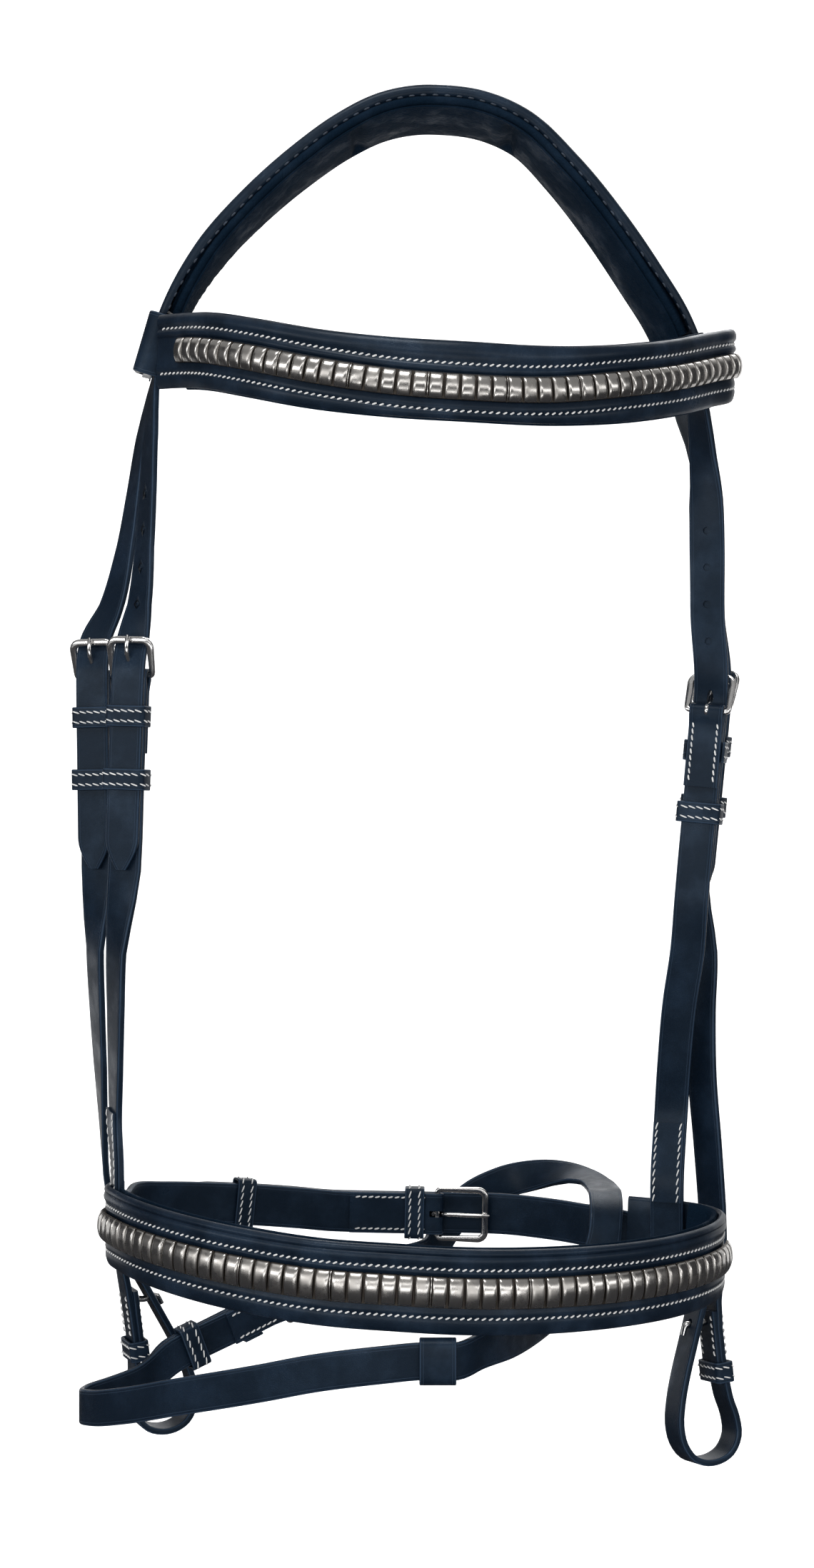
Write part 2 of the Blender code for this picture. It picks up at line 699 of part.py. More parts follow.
def make_crown(rows):
    stations = lay(rows)
    marks = lengths(stations)
    turn = marks[-1] / 2
    outer = shift(stations, GAP / 2 + CROWN_THICK / 2)
    widths = taper(stations, CROWN_WIDTH, CROWN_FOOT_WIDTH, turn, POINT_SEWN)
    strap("crown_strap", outer, widths, CROWN_THICK)
    inner = stretch(stations, POINT_SEWN + GAP * 2, marks[-1] - POINT_SEWN - GAP * 2)
    pad_widths = taper(inner, CROWN_PAD_WIDTH, CROWN_PAD_FOOT_WIDTH, lengths(inner)[-1] / 2)
    sections = [pad_section(width, CROWN_PAD_THICK) for width in pad_widths]
    loft("crown_lining", shift(inner, -GAP / 2), sections, LINING)
    return stations


def foot_rows(stations, side, hand):
    """Where a point strap lies sewn inside the crown's foot: its first rows, top first."""
    total = lengths(stations)[-1]
    found = []
    for k, from_end in enumerate((POINT_SEWN, (POINT_SEWN + POINT_SEWN_END) / 2, POINT_SEWN_END)):
        s = station_at(stations, from_end if hand == LEFT else total - from_end)
        place = s.place - s.face * (GAP * (k + 1) / 2 + POINT_THICK / 2) + s.across * side
        across = s.across if hand == RIGHT else -s.across
        found.append(Row(place, across, 1))
    return found


def make_point(label, hand, crown, side, reach=POINT_LENGTH, holes=4):
    """A point strap from the crown's foot, through its buckle to its tip."""
    seat = make_seat(SEAT_shares[label])
    rows = foot_rows(crown, side, hand) + hung_rows(POINT_shares[label]) + point_rows(seat, reach)
    stations = lay(rows)
    obj = strap(label + "_point", stations, tip_widths(stations, STRAP_WIDTH), POINT_THICK)
    tongue_hole(obj, seat, label)
    first = lengths(stations)[-1] - reach - FIRST_HOLE
    punch_holes(obj, stations, holes, first, label)
    return obj


def make_buckle(label, seat, strap_width=STRAP_WIDTH):
    buckle_frame(label + "_buckle", seat, BUCKLE_LENGTH, strap_width, bar_out())
    tongue(label + "_tongue", seat, BUCKLE_LENGTH, bar_out())
    fixed_keeper(label + "_keeper", seat, KEEPER_AT, strap_width)
    runner(label + "_runner", seat, RUNNER_AT, strap_width)


def billet_rows(seat):
    """Straight down to the bit loop, round it and back up the horse's side on to the hook."""
    rows = [Row(on_seat(seat, -BILLET_STRAIGHT), seat.across, 1)]
    for along, out in BIT_LOOP_shares:
        rows.append(Row(on_seat(seat, along * BIT_LOOP_LENGTH, out * BIT_LOOP_WIDTH), seat.across, 1))
    return rows


def make_cheekpiece(hand):
    label = hand + "_cheek"
    seat = make_seat(SEAT_shares[label])
    rows, thicks = buckle_rows(seat, TURN_BACK, POINT_LENGTH)
    billet = make_seat(BILLET_shares[hand])
    rows += hung_rows(LOWER_shares[label]) + billet_rows(billet)
    stations = lay(rows)
    obj = strap(hand + "_cheekpiece", stations, STRAP_WIDTH, thick_list(rows, thicks, stations))
    tongue_slot(obj, seat, label)
    make_billet_trim(hand, billet, stations, obj)


def make_billet_trim(hand, billet, stations, cheekpiece):
    """The safe, its keeper round both layers, and the hook that the billet's end is slipped on."""
    safe_out = -(STRAP_THICK / 2 + GAP + SAFE_THICK / 2)
    ends = [moved(billet, along, safe_out) for along in (-BILLET_STRAIGHT * 0.9, -BILLET_STRAIGHT / 2, -GAP)]
    strap(hand + "_billet_safe", ends, STRAP_WIDTH, SAFE_THICK)
    middle = moved(billet, -BILLET_KEEPER_AT)
    high = STRAP_THICK / 2 + KEEPER_CLEAR
    low = safe_out - SAFE_THICK / 2 - KEEPER_CLEAR
    half = STRAP_WIDTH / 2 + KEEPER_CLEAR
    name = hand + "_billet_keeper"
    band_round(name, middle, low, high, half, KEEPER_WIDTH, KEEPER_THICK, KEEPER_CORNER)
    hole = station_at(stations, lengths(stations)[-1] - BILLET_STRAIGHT + HOOK_AT)
    reach = HOOK_RADIUS + FREE_GAP
    cut(cheekpiece, oval_cutter(hand + "_hook_hole", hole, reach, reach, STRAP_THICK * 2))
    make_hook(hand + "_hook_stud", billet, hole)


def make_hook(name, billet, hole):
    """A bent wire: out of the safe, through the billet's hole and down its far side."""
    along = (hole.place - billet.place).dot(billet.run)
    root = -(STRAP_THICK / 2 + GAP * 2 + SAFE_THICK)
    clear = STRAP_THICK / 2 + GAP + HOOK_RADIUS
    away = hole.face * (clear if hole.face.dot(billet.face) < 0 else -clear)
    down = hole.run if hole.run.dot(billet.run) > 0 else -hole.run
    bend = hole.place + away
    points = [on_seat(billet, along, root), hole.place - away * 0.8]
    points += [bend, bend + down * HOOK_RADIUS + away * 0.2, bend + down * HOOK_DROP]
    wire(name, points, HOOK_RADIUS, STEEL, origin=billet.place)


def make_hanger(hand, join_rows):
    label = hand + "_noseband"
    seat = make_seat(SEAT_shares[label])
    rows, thicks = buckle_rows(seat, TURN_BACK, POINT_LENGTH)
    rows += hung_rows(LOWER_shares[label]) + join_rows
    stations = lay(rows)
    obj = strap(hand + "_hanger", stations, STRAP_WIDTH, thick_list(rows, thicks, stations))
    tongue_slot(obj, seat, label)


def band_outs():
    """Middles of the strap and top of the lining, from the beads' crest inwards."""
    strap_out = -(BEAD_DEPTH + FREE_GAP + BAND_THICK / 2)
    lining_out = strap_out - BAND_THICK / 2 - GAP
    return strap_out, lining_out


def make_band(name, stations, crest, width, bead_height, bead_pitch, lining_span, bead_span):
    """A padded strap with its lining on one route, and a row of clincher beads on their crest's route."""
    strap_out, lining_out = band_outs()
    strap(name + "_strap", shift(stations, strap_out), width, BAND_THICK)
    inner = stretch(stations, *lining_span)
    lined = [pad_section(width + 2 * BAND_PAD_LIP, BAND_PAD_THICK)] * len(inner)
    loft(name + "_lining", shift(inner, lining_out), lined, LINING)
    make_clincher(name + "_clincher", crest, bead_height, bead_pitch, *bead_span)


def make_clincher(name, stations, height, pitch, start, end):
    """Half-barrel beads pressed in one strip: each has two crests between its grooves."""
    count = round((end - start) / pitch)
    step = (end - start) / count
    places, sections = [], []
    crest = bead_section(height, BEAD_DEPTH)
    groove = bead_section(height * GROOVE_HEIGHT_share, BEAD_DEPTH * GROOVE_share)
    for k in range(count):
        at = start + k * step
        places += [station_at(stations, at), station_at(stations, at + step * 0.25)]
        places.append(station_at(stations, at + step * 0.75))
        sections += [groove, crest, crest]
    places.append(station_at(stations, end))
    sections.append(groove)
    loft(name, shift(places, -BEAD_DEPTH), sections, NICKEL)


def brow_loop(hand, crown):
    """The band end's loop, which the crown's foot passes through."""
    total = lengths(crown)[-1]
    middle = station_at(crown, BROW_LOOP_AT if hand == LEFT else total - BROW_LOOP_AT)
    stack_low = -(GAP + POINT_THICK + BROW_LOOP_CLEAR + FREE_GAP * 2)
    stack_high = GAP / 2 + CROWN_THICK + FREE_GAP * 2
    half = CROWN_FOOT_WIDTH / 2 + BROW_LOOP_CLEAR
    name = hand + "_browband_loop"
    band_round(
        name, middle, stack_low, stack_high, half, BROW_LOOP_HEIGHT, BROW_LOOP_THICK, BROW_LOOP_CORNER
    )


def make_browband():
    up = Vector((0, 0, 1))
    stations = lay([Row(spot(line), up, BAND_STEPS) for line in BROWBAND_shares])
    dropped = [spot(line) - up * line[3] * BROW_BEAD_DROP for line in BROWBAND_shares]
    total = lengths(stations)[-1]
    make_band(
        "browband", stations, lay([Row(place, up, BAND_STEPS) for place in dropped]), BROW_WIDTH, BROW_BEAD_HEIGHT, BROW_BEAD_PITCH,
        (total * 0.05, total * 0.86), (total * 0.045, total * 0.93),
    )


def make_noseband():
    """The noseband and, on its inner face, the rows where each hanger is sewn."""
    stations = lay([Row(spot(line), Vector((0, 0, 1)), BAND_STEPS) for line in NOSEBAND_shares])
    total = lengths(stations)[-1]
    make_band(
        "noseband", stations, stations, NOSE_WIDTH, NOSE_BEAD_HEIGHT, NOSE_BEAD_PITCH,
        (HANGER_FROM_LEFT + LINING_BESIDE, total - HANGER_FROM_RIGHT - LINING_BESIDE),
        (total * 0.02, total * 0.86),
    )
    return stations


def hanger_join(stations, distance):
    """The hanger's last rows, flat against the noseband strap's inner face."""
    s = station_at(stations, distance)
    out = band_outs()[1] - STRAP_THICK / 2 - SEWN_GAP
    foot = s.place + s.face * out
    return [Row(foot + Vector((0, 0, NOSE_WIDTH * share)), s.run, 1) for share in (0.72, 0.3, -0.36)]


def chin_join(stations, distances, out, rise=0):
    """A chin strap's rows where it lies sewn flat to the noseband's end."""
    found = []
    for distance in distances:
        s = station_at(stations, distance)
        found.append(Row(s.place + s.face * out + s.across * rise, Vector((0, 0, 1)), 1))
    return found


def make_chin(nose):
    seat = make_seat(SEAT_shares["chin"])
    total = lengths(nose)[-1]
    near, thicks = buckle_rows(seat, CHIN_TURN_BACK, CHIN_TURN_BACK * 1.2)
    upright = (0, 0, 1)
    far = level_rows(CHIN_LEFT_shares[::-1], upright, STRAP_STEPS)
    inside = band_outs()[1] - STRAP_THICK / 2
    rows = near + far + chin_join(nose, (CHIN_WIDTH * 0.1, CHIN_WIDTH * 0.75), inside, CHIN_WIDTH / 8)
    stations = lay(rows)
    obj = strap("chin_buckle_strap", stations, CHIN_WIDTH, thick_list(rows, thicks, stations))
    tongue_slot(obj, seat, "chin")
    make_chin_point(seat, nose, total, stations)
    face = flipped(seat)
    rise = WIRE_RADIUS * 1.5
    buckle_frame("chin_buckle", face, CHIN_BUCKLE_LENGTH, CHIN_WIDTH, rise)
    tongue("chin_tongue", face, CHIN_BUCKLE_LENGTH, rise)


def make_chin_point(seat, nose, total, carrier):
    """From the noseband's right end, behind the frame and along the outside of the buckle strap."""
    marks = lengths(carrier)
    heel = CHIN_TURN_BACK + wrap_radius() * 2
    shift_out = point_out() - main_out()
    outside = band_outs()[0] + BAND_THICK / 2 + GAP + POINT_THICK / 2
    rows = chin_join(nose, (total - CHIN_WIDTH * 0.8, total - CHIN_WIDTH * 0.2), outside)
    rows += level_rows(CHIN_RIGHT_shares, (0, 0, 1), STRAP_STEPS)
    rows.append(Row(on_seat(seat, -CHIN_BUCKLE_LENGTH * 0.5, point_out()), seat.across, 1))
    rows.append(Row(on_seat(seat, 0, point_out()), seat.across, 1))
    beside = stretch(carrier, heel + CHIN_POINT_LENGTH * 0.1, heel + CHIN_POINT_LENGTH * 0.87)
    beside += [station_at(carrier, heel + CHIN_POINT_LENGTH * share) for share in (0.92, 0.97, 1)]
    rows += [Row(s.place + s.face * shift_out, s.across, 1) for s in beside]
    stations = lay(rows)
    obj = strap("chin_point_strap", stations, tip_widths(stations, CHIN_WIDTH), POINT_THICK)
    punch_holes(obj, stations, 4, lengths(stations)[-1] - FIRST_HOLE, "chin")
    for name, along in (("chin_keeper", CHIN_KEEPER_AT), ("chin_far_keeper", CHIN_RUNNER_AT)):
        s = station_at(carrier, heel + along)
        middle = s._replace(place=s.place - s.face * main_out())
        low = main_out() - STRAP_THICK / 2 - KEEPER_CLEAR
        if along < CHIN_TURN_BACK:
            low = turn_back_out() - SKIVED_THICK / 2 - KEEPER_CLEAR
        runner(name, middle, 0, CHIN_WIDTH, low)


def make_flash():
    """One strap: tip, buckle, over the chin strap, through the loop, round and back to its buckle."""
    seat = make_seat(SEAT_shares["flash"])
    reach = POINT_LENGTH * 0.8
    tip_first = point_rows(seat, reach)[::-1]
    near, thicks = buckle_rows(seat, TURN_BACK * 0.8, TURN_BACK * 1.6)
    at = spot(FLASH_LOOP_shares)
    aside = Vector((FLASH_LOOP_WIDTH / 2, 0, 0))
    through = [Row(at + aside, Vector((0, 0, 1)), 1), Row(at - aside, Vector((0, 0, 1)))]
    rows = tip_first + aimed_rows(FLASH_OVER_shares) + through + aimed_rows(FLASH_FRONT_shares) + near[::-1]
    count = len(rows)
    stations = lay(rows)
    thick_rows = [POINT_THICK] * (count - len(near)) + thicks[::-1]
    widths = tip_widths(stations[::-1], STRAP_WIDTH)[::-1]
    obj = strap("flash_strap", stations, widths, thick_list(rows, thick_rows, stations))
    tongue_slot(obj, seat, "flash")
    tongue_hole(obj, seat, "flash")
    make_buckle("flash", seat)
    return at


def make_flash_loop(at):
    """Sewn under the noseband's middle; the flash strap runs through it."""
    middle = square_up(at, Vector((-1, 0, 0)), Vector((0, 0, 1)))
    half = STRAP_WIDTH / 2 + KEEPER_CLEAR
    deep = FLASH_LOOP_DEPTH / 2
    band_round(
        "flash_loop", middle, -deep, deep, half, FLASH_LOOP_WIDTH, FLASH_LOOP_THICK, FLASH_LOOP_CORNER
    )


def make_bridle():
    crown = make_crown(crown_rows())
    offset = STRAP_WIDTH / 2 + GAP
    for hand in (LEFT, RIGHT):
        make_point(hand + "_cheek", hand, crown, offset)
        make_point(hand + "_noseband", hand, crown, -offset)
        make_cheekpiece(hand)
        brow_loop(hand, crown)
        for label in (hand + "_cheek", hand + "_noseband"):
            make_buckle(label, make_seat(SEAT_shares[label]))
    make_browband()
    nose = make_noseband()
    total = lengths(nose)[-1]
    make_hanger(LEFT, hanger_join(nose, HANGER_FROM_LEFT))
    make_hanger(RIGHT, hanger_join(nose, total - HANGER_FROM_RIGHT))
    make_chin(nose)
    make_flash_loop(make_flash())


make_bridle()
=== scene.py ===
"""English horse bridle in navy leather, thread and metal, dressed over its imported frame.

The straps' routes are tables of places, as shares of the bridle's half span, reach and hang. Finer straps,
padding, seams and metal are laid along them, and each one stands for the frame's plain solid of that piece.
X runs to the right of someone who faces the horse, +Y towards its neck, +Z up. Sizes are in metres.
"""

import json
import math
from bisect import bisect_right
from collections import namedtuple

import bmesh
import bpy
from mathutils import Matrix, Vector, noise


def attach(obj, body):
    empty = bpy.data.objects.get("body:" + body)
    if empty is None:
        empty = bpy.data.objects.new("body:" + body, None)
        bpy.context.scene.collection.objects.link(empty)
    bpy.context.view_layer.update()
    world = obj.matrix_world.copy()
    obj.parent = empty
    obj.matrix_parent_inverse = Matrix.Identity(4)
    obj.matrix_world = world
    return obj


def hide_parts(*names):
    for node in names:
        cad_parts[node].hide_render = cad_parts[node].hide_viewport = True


bl_info = {
    "name": "Horse Bridle",
    "version": (1, 0, 0),
    "blender": (4, 5, 0),
    "location": "View3D > Sidebar > Bridle",
    "description": "Dresses a clincher bridle's frame in leather, thread and metal",
    "category": "Add Mesh",
}

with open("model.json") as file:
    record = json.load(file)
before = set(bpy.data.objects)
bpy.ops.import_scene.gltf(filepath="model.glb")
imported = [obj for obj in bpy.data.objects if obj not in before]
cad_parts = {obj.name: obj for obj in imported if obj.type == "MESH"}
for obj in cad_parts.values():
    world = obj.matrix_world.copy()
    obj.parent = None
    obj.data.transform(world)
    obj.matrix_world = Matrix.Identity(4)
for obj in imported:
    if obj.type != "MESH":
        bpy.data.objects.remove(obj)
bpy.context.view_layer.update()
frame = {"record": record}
BODY_OF = {node: body for body, nodes in frame["record"]["behaviour"]["bodies"].items() for node in nodes}

# Driving sizes of the whole bridle
HALF_SPAN = 0.116
REACH = 0.085
HANG = 0.490
ROUTE_RISE = 0.0012
GAP = 0.0003
FREE_GAP = 0.0005
SEWN_GAP = 0.0007
OVERRUN = 0.002

# Crown
CROWN_WIDTH = 0.0446
CROWN_FOOT_WIDTH = 0.0268
CROWN_THICK = 0.003
CROWN_PAD_WIDTH = 0.0442
CROWN_PAD_FOOT_WIDTH = 0.024
CROWN_PAD_THICK = 0.0066
CROWN_FLAT = 0.016
POINT_SEWN = 0.024
POINT_SEWN_END = 0.003
BROW_LOOP_AT = 0.0115
BROW_LOOP_CLEAR = 0.0013

# Half-inch straps
STRAP_WIDTH = 0.0127
STRAP_THICK = 0.0024
SKIVED_THICK = 0.0012
POINT_THICK = 0.0022
POINT_LENGTH = 0.070
TURN_BACK = 0.028
HOLE_RADIUS = 0.0014
HOLE_PITCH = 0.0135
FIRST_HOLE = 0.026
SLOT_SIDE_GAP = 0.0004

# Buckles
WIRE_RADIUS = 0.0010
BUCKLE_LENGTH = 0.0125
CHIN_BUCKLE_LENGTH = 0.0186
BUCKLE_SIDE_GAP = 0.0005
TONGUE_RADIUS = 0.0008
TONGUE_TIP = 0.0016
HEEL_CORNER = 0.0012
FAR_CORNER = 0.0028
KEEPER_CORNER = 0.0008
FLASH_LOOP_CORNER = 0.0018
BROW_LOOP_CORNER = 0.0030
KEEPER_CLEAR = 0.0004

# Keepers
KEEPER_WIDTH = 0.0076
KEEPER_THICK = 0.0010
KEEPER_AT = 0.0148
RUNNER_AT = 0.0375
CHIN_KEEPER_AT = 0.0100
CHIN_RUNNER_AT = 0.0780
BILLET_KEEPER_AT = 0.0045

# Browband and noseband
BROW_WIDTH = 0.0266
BROW_BEAD_HEIGHT = 0.0089
BROW_BEAD_PITCH = 0.0055
BROW_BEAD_DROP = 0.0025
NOSE_WIDTH = 0.0290
NOSE_BEAD_HEIGHT = 0.0105
NOSE_BEAD_PITCH = 0.0057
BEAD_DEPTH = 0.0024
BAND_THICK = 0.0026
BAND_PAD_THICK = 0.0038
BAND_PAD_LIP = 0.0002
BROW_LOOP_HEIGHT = 0.0225
BROW_LOOP_THICK = 0.0020

# Chin strap, bit loops and flash strap
CHIN_WIDTH = 0.0159
CHIN_POINT_LENGTH = 0.107
CHIN_TURN_BACK = 0.034
BIT_LOOP_LENGTH = 0.0275
BIT_LOOP_WIDTH = 0.0225
BILLET_STRAIGHT = 0.030
HOOK_AT = 0.0215
HOOK_RADIUS = 0.0012
HOOK_DROP = 0.0050
HANGER_FROM_LEFT = 0.0245
HANGER_FROM_RIGHT = 0.0165
LINING_BESIDE = 0.0095
SAFE_THICK = 0.0020
FLASH_LOOP_WIDTH = 0.0124
FLASH_LOOP_THICK = 0.0012
FLASH_LOOP_DEPTH = 0.0044

# The English point, and the rows between two places of a route
TIP_LENGTH_share = 0.9
STRAP_STEPS = 2
BAND_STEPS = 2

LEFT, RIGHT = "left", "right"
Row = namedtuple("Row", "place across steps", defaults=(STRAP_STEPS,))
Station = namedtuple("Station", "place run across face")
UP = Vector((0, 0, 1))


# Routes: x, y and z shares, then the plan angle in degrees of the strap's width
CROWN_LEFT_shares = [
    (-0.874, 0.033, 0.200, 98), (-0.852, 0.024, 0.178, 96), (-0.791, 0, 0.144, 93), (-0.690, 0, 0.107, 90),
    (-0.553, 0, 0.072, 90), (-0.401, 0, 0.041, 90), (-0.268, 0, 0.019, 90), (-0.150, 0, 0.0055, 90),
]
CROWN_RIGHT_shares = [
    (0.170, 0, 0.0045, 90), (0.296, 0, 0.018, 91), (0.424, 0.012, 0.047, 94), (0.556, 0.035, 0.085, 98),
    (0.678, 0.071, 0.126, 103), (0.762, 0.106, 0.157, 107), (0.817, 0.141, 0.188, 110),
    (0.838, 0.160, 0.214, 112),
]
POINT_shares = {
    "left_cheek": [
        (-0.906, 0.095, 0.232, -70), (-0.930, 0.085, 0.272, -65), (-0.957, 0.075, 0.314, -58),
        (-1.003, 0.065, 0.360, -42),
    ],
    "left_noseband": [
        (-0.868, -0.094, 0.236, -66), (-0.874, -0.118, 0.276, -62), (-0.883, -0.136, 0.318, -58),
        (-0.898, -0.150, 0.360, -46),
    ],
    "right_cheek": [
        (0.875, 0.235, 0.250, 120), (0.887, 0.262, 0.282, 148), (0.893, 0.276, 0.320, 162),
        (0.899, 0.284, 0.366, 160),
    ],
    "right_noseband": [
        (0.867, 0.078, 0.250, 132), (0.877, 0.068, 0.280, 152), (0.880, 0.068, 0.318, 164),
        (0.880, 0.068, 0.366, 164),
    ],
}
SEAT_shares = {
    "left_cheek": ((-1.047, 0.059, 0.412), (0.012, 0, -1), (0.94, -0.34, 0)),
    "left_noseband": ((-0.918, -0.153, 0.412), (-0.035, 0, -1), (0.94, -0.34, 0)),
    "right_cheek": ((0.908, 0.290, 0.432), (-0.10, 0, -1), (-0.87, 0.5, 0)),
    "right_noseband": ((0.880, 0.071, 0.437), (-0.09, 0, -1), (-0.94, 0.34, 0)),
    "chin": ((0.032, 0.824, 0.8335), (-1, 0, 0.02), (0, 0, 1)),
    "flash": ((-0.474, 0.388, 0.890), (-0.845, -0.39, -0.36), (0, 0, 1)),
}
LOWER_shares = {
    "left_cheek": [
        (-1.056, 0.094, 0.615, -61), (-1.053, 0.141, 0.660, -65), (-1.047, 0.190, 0.705, -70),
        (-1.042, 0.235, 0.745, -78), (-1.036, 0.278, 0.785, -84), (-1.018, 0.318, 0.825, -80),
    ],
    "left_noseband": [
        (-0.972, -0.125, 0.615, -56), (-0.976, -0.094, 0.660, -62), (-0.980, -0.050, 0.705, -67),
        (-0.982, -0.012, 0.742, -72),
    ],
    "right_cheek": [
        (0.880, 0.305, 0.620, 147), (0.878, 0.322, 0.665, 142), (0.884, 0.340, 0.715, 138),
        (0.902, 0.352, 0.765, 136), (0.918, 0.362, 0.815, 134), (0.925, 0.352, 0.848, 124),
    ],
    "right_noseband": [
        (0.822, 0.130, 0.615, 168), (0.800, 0.200, 0.660, 166), (0.788, 0.262, 0.705, 162),
        (0.781, 0.310, 0.745, 160),
    ],
}
BILLET_shares = {
    LEFT: ((-0.957, 0.430, 0.936), (0.12, 0.04, -1), (0.342, -0.94, 0)),
    RIGHT: ((0.938, 0.285, 0.947), (0.10, -0.05, -1), (-0.38, 0.925, 0)),
}
BIT_LOOP_shares = [
    (0, 0), (0.20, 0.03), (0.46, 0.11), (0.72, 0.11), (0.92, -0.05), (1, -0.28), (1, -0.50), (0.92, -0.72),
    (0.72, -0.88), (0.46, -0.92), (0.15, -0.85), (-0.20, -0.71), (-0.55, -0.54), (-0.90, -0.37), (-1.12, -0.26),
]
BROWBAND_shares = [
    (-0.860, -0.221, 0.176, 0), (-0.800, -0.318, 0.1777, 0), (-0.702, -0.494, 0.1825, 0),
    (-0.579, -0.659, 0.1907, 0.02), (-0.341, -0.847, 0.2042, 0.34), (-0.112, -0.929, 0.2115, 0.8),
    (0.115, -0.941, 0.2148, 1), (0.345, -0.859, 0.2156, 0.8), (0.581, -0.682, 0.2104, 0.2),
    (0.789, -0.388, 0.1984, 0), (0.922, -0.130, 0.186, 0), (0.978, -0.010, 0.181, 0),
    (0.992, 0.075, 0.179, 0), (0.980, 0.180, 0.177, 0), (0.952, 0.285, 0.176, 0),
]
NOSEBAND_shares = [
    (-1.018, 0.225, 0.8195), (-1.036, 0.110, 0.819), (-1.042, 0, 0.8188), (-0.993, -0.212, 0.8193),
    (-0.923, -0.388, 0.8208), (-0.765, -0.624, 0.8252), (-0.572, -0.800, 0.8302), (-0.339, -0.941, 0.8346),
    (-0.112, -1, 0.8368), (0.114, -0.988, 0.8398), (0.343, -0.906, 0.8418), (0.578, -0.741, 0.8428),
    (0.780, -0.506, 0.8425), (0.894, -0.282, 0.8415), (0.945, -0.080, 0.841), (0.955, 0.060, 0.840),
    (0.922, 0.180, 0.839), (0.858, 0.255, 0.838), (0.765, 0.315, 0.837), (0.655, 0.370, 0.836),
]
CHIN_LEFT_shares = [
    (-0.945, 0.330, 0.8125), (-0.870, 0.480, 0.8155), (-0.745, 0.620, 0.8195), (-0.580, 0.728, 0.8240),
    (-0.410, 0.790, 0.8285),
]
CHIN_RIGHT_shares = [
    (0.600, 0.422, 0.8345), (0.520, 0.515, 0.8340), (0.440, 0.622, 0.8335), (0.355, 0.725, 0.8335),
    (0.270, 0.805, 0.8335),
]
FLASH_OVER_shares = [
    (-0.278, 0.500, 0.8680, (0.30, 0.10, 0.95)), (-0.155, 0.600, 0.8655, (0.10, 0.10, 1)),
    (-0.050, 0.770, 0.8685, (0, 0.10, 1)), (0.020, 0.930, 0.8650, (-0.20, 0.05, 1)),
    (0.075, 1.010, 0.8460, (-0.55, 0, 0.80)), (0.150, 1.050, 0.8270, (-0.50, 0, 0.85)),
    (0.250, 1.050, 0.8150, (-0.25, 0, 0.95)), (0.350, 1.000, 0.8080, (0.05, 0.40, 0.90)),
    (0.440, 0.920, 0.8040, (0.45, 0.55, 0.60)), (0.510, 0.820, 0.8035, (0.80, 0.45, 0.25)),
    (0.555, 0.700, 0.8050, (0.90, 0.40, 0)), (0.574, 0.560, 0.8070, (0.92, 0.38, 0)),
    (0.576, 0.410, 0.8090, (0.92, 0.38, 0)), (0.572, 0.300, 0.8190, (0.90, 0.35, 0.05)),
    (0.556, 0.230, 0.8430, (0.82, 0.25, 0.40)), (0.500, 0.140, 0.8660, (0.60, 0.10, 0.75)),
    (0.420, -0.060, 0.8780, (0.30, 0, 0.95)), (0.330, -0.330, 0.8830, (0.10, 0, 1)),
    (0.240, -0.620, 0.8835, (0, 0, 1)), (0.150, -0.835, 0.8830, (0, 0, 1)),
]
FLASH_FRONT_shares = [
    (-0.135, -0.970, 0.8880, (0, 0, 1)), (-0.340, -0.915, 0.8960, (0, 0, 1)),
    (-0.491, -0.850, 0.9050, (0, 0, 1)), (-0.757, -0.640, 0.9230, (0, 0, 1)),
    (-0.931, -0.440, 0.9370, (0, 0, 1)), (-1.035, -0.285, 0.9445, (0, 0, 1)),
    (-1.072, -0.195, 0.9465, (0, 0, 1)), (-1.060, -0.115, 0.9465, (0, 0, 1)),
    (-1.000, -0.045, 0.9440, (0, 0, 1)), (-0.910, 0.050, 0.9385, (0, 0, 1)),
]
FLASH_LOOP_shares = (0.020, -0.950, 0.8864)

# How finely the pieces are made
FINER = 3
EDGE_STEPS = 4
TUBE_STEPS = 14
TIP_RINGS = 3
CORNER_STEPS = 5
HEEL_BEND_STEPS = 6
HOLE_STEPS = 16
STITCH_RINGS = 7
STITCH_SIDES = 8
BEAD_ALONG = 12
BEAD_OVER = 14
SHARP_ANGLE = math.radians(42)
CROWN_STEP = 0.0022
PAD_STEP = 0.0011
BAND_STEP = 0.0030
FRAME_STEP = 0.0012

# Layers of a buckled strap, out from the middle of its heel bar
BAR_CLEAR = WIRE_RADIUS + GAP
WRAP_RADIUS = BAR_CLEAR + SKIVED_THICK
MAIN_OUT = WRAP_RADIUS - STRAP_THICK / 2
TURN_BACK_OUT = MAIN_OUT - STRAP_THICK / 2 - GAP / 2 - SKIVED_THICK / 2
POINT_OUT = WRAP_RADIUS + GAP + POINT_THICK / 2
UNDER_OUT = POINT_THICK / 2
BAR_OUT = UNDER_OUT + POINT_THICK / 2 + GAP * 2 + WIRE_RADIUS
KEEPER_HIGH = POINT_OUT + POINT_THICK / 2 + KEEPER_CLEAR

# Layers of a band, inwards from the crest of its beads
BAND_OUT = -(BEAD_DEPTH + FREE_GAP + BAND_THICK / 2)
LINING_OUT = BAND_OUT - BAND_THICK / 2 - GAP

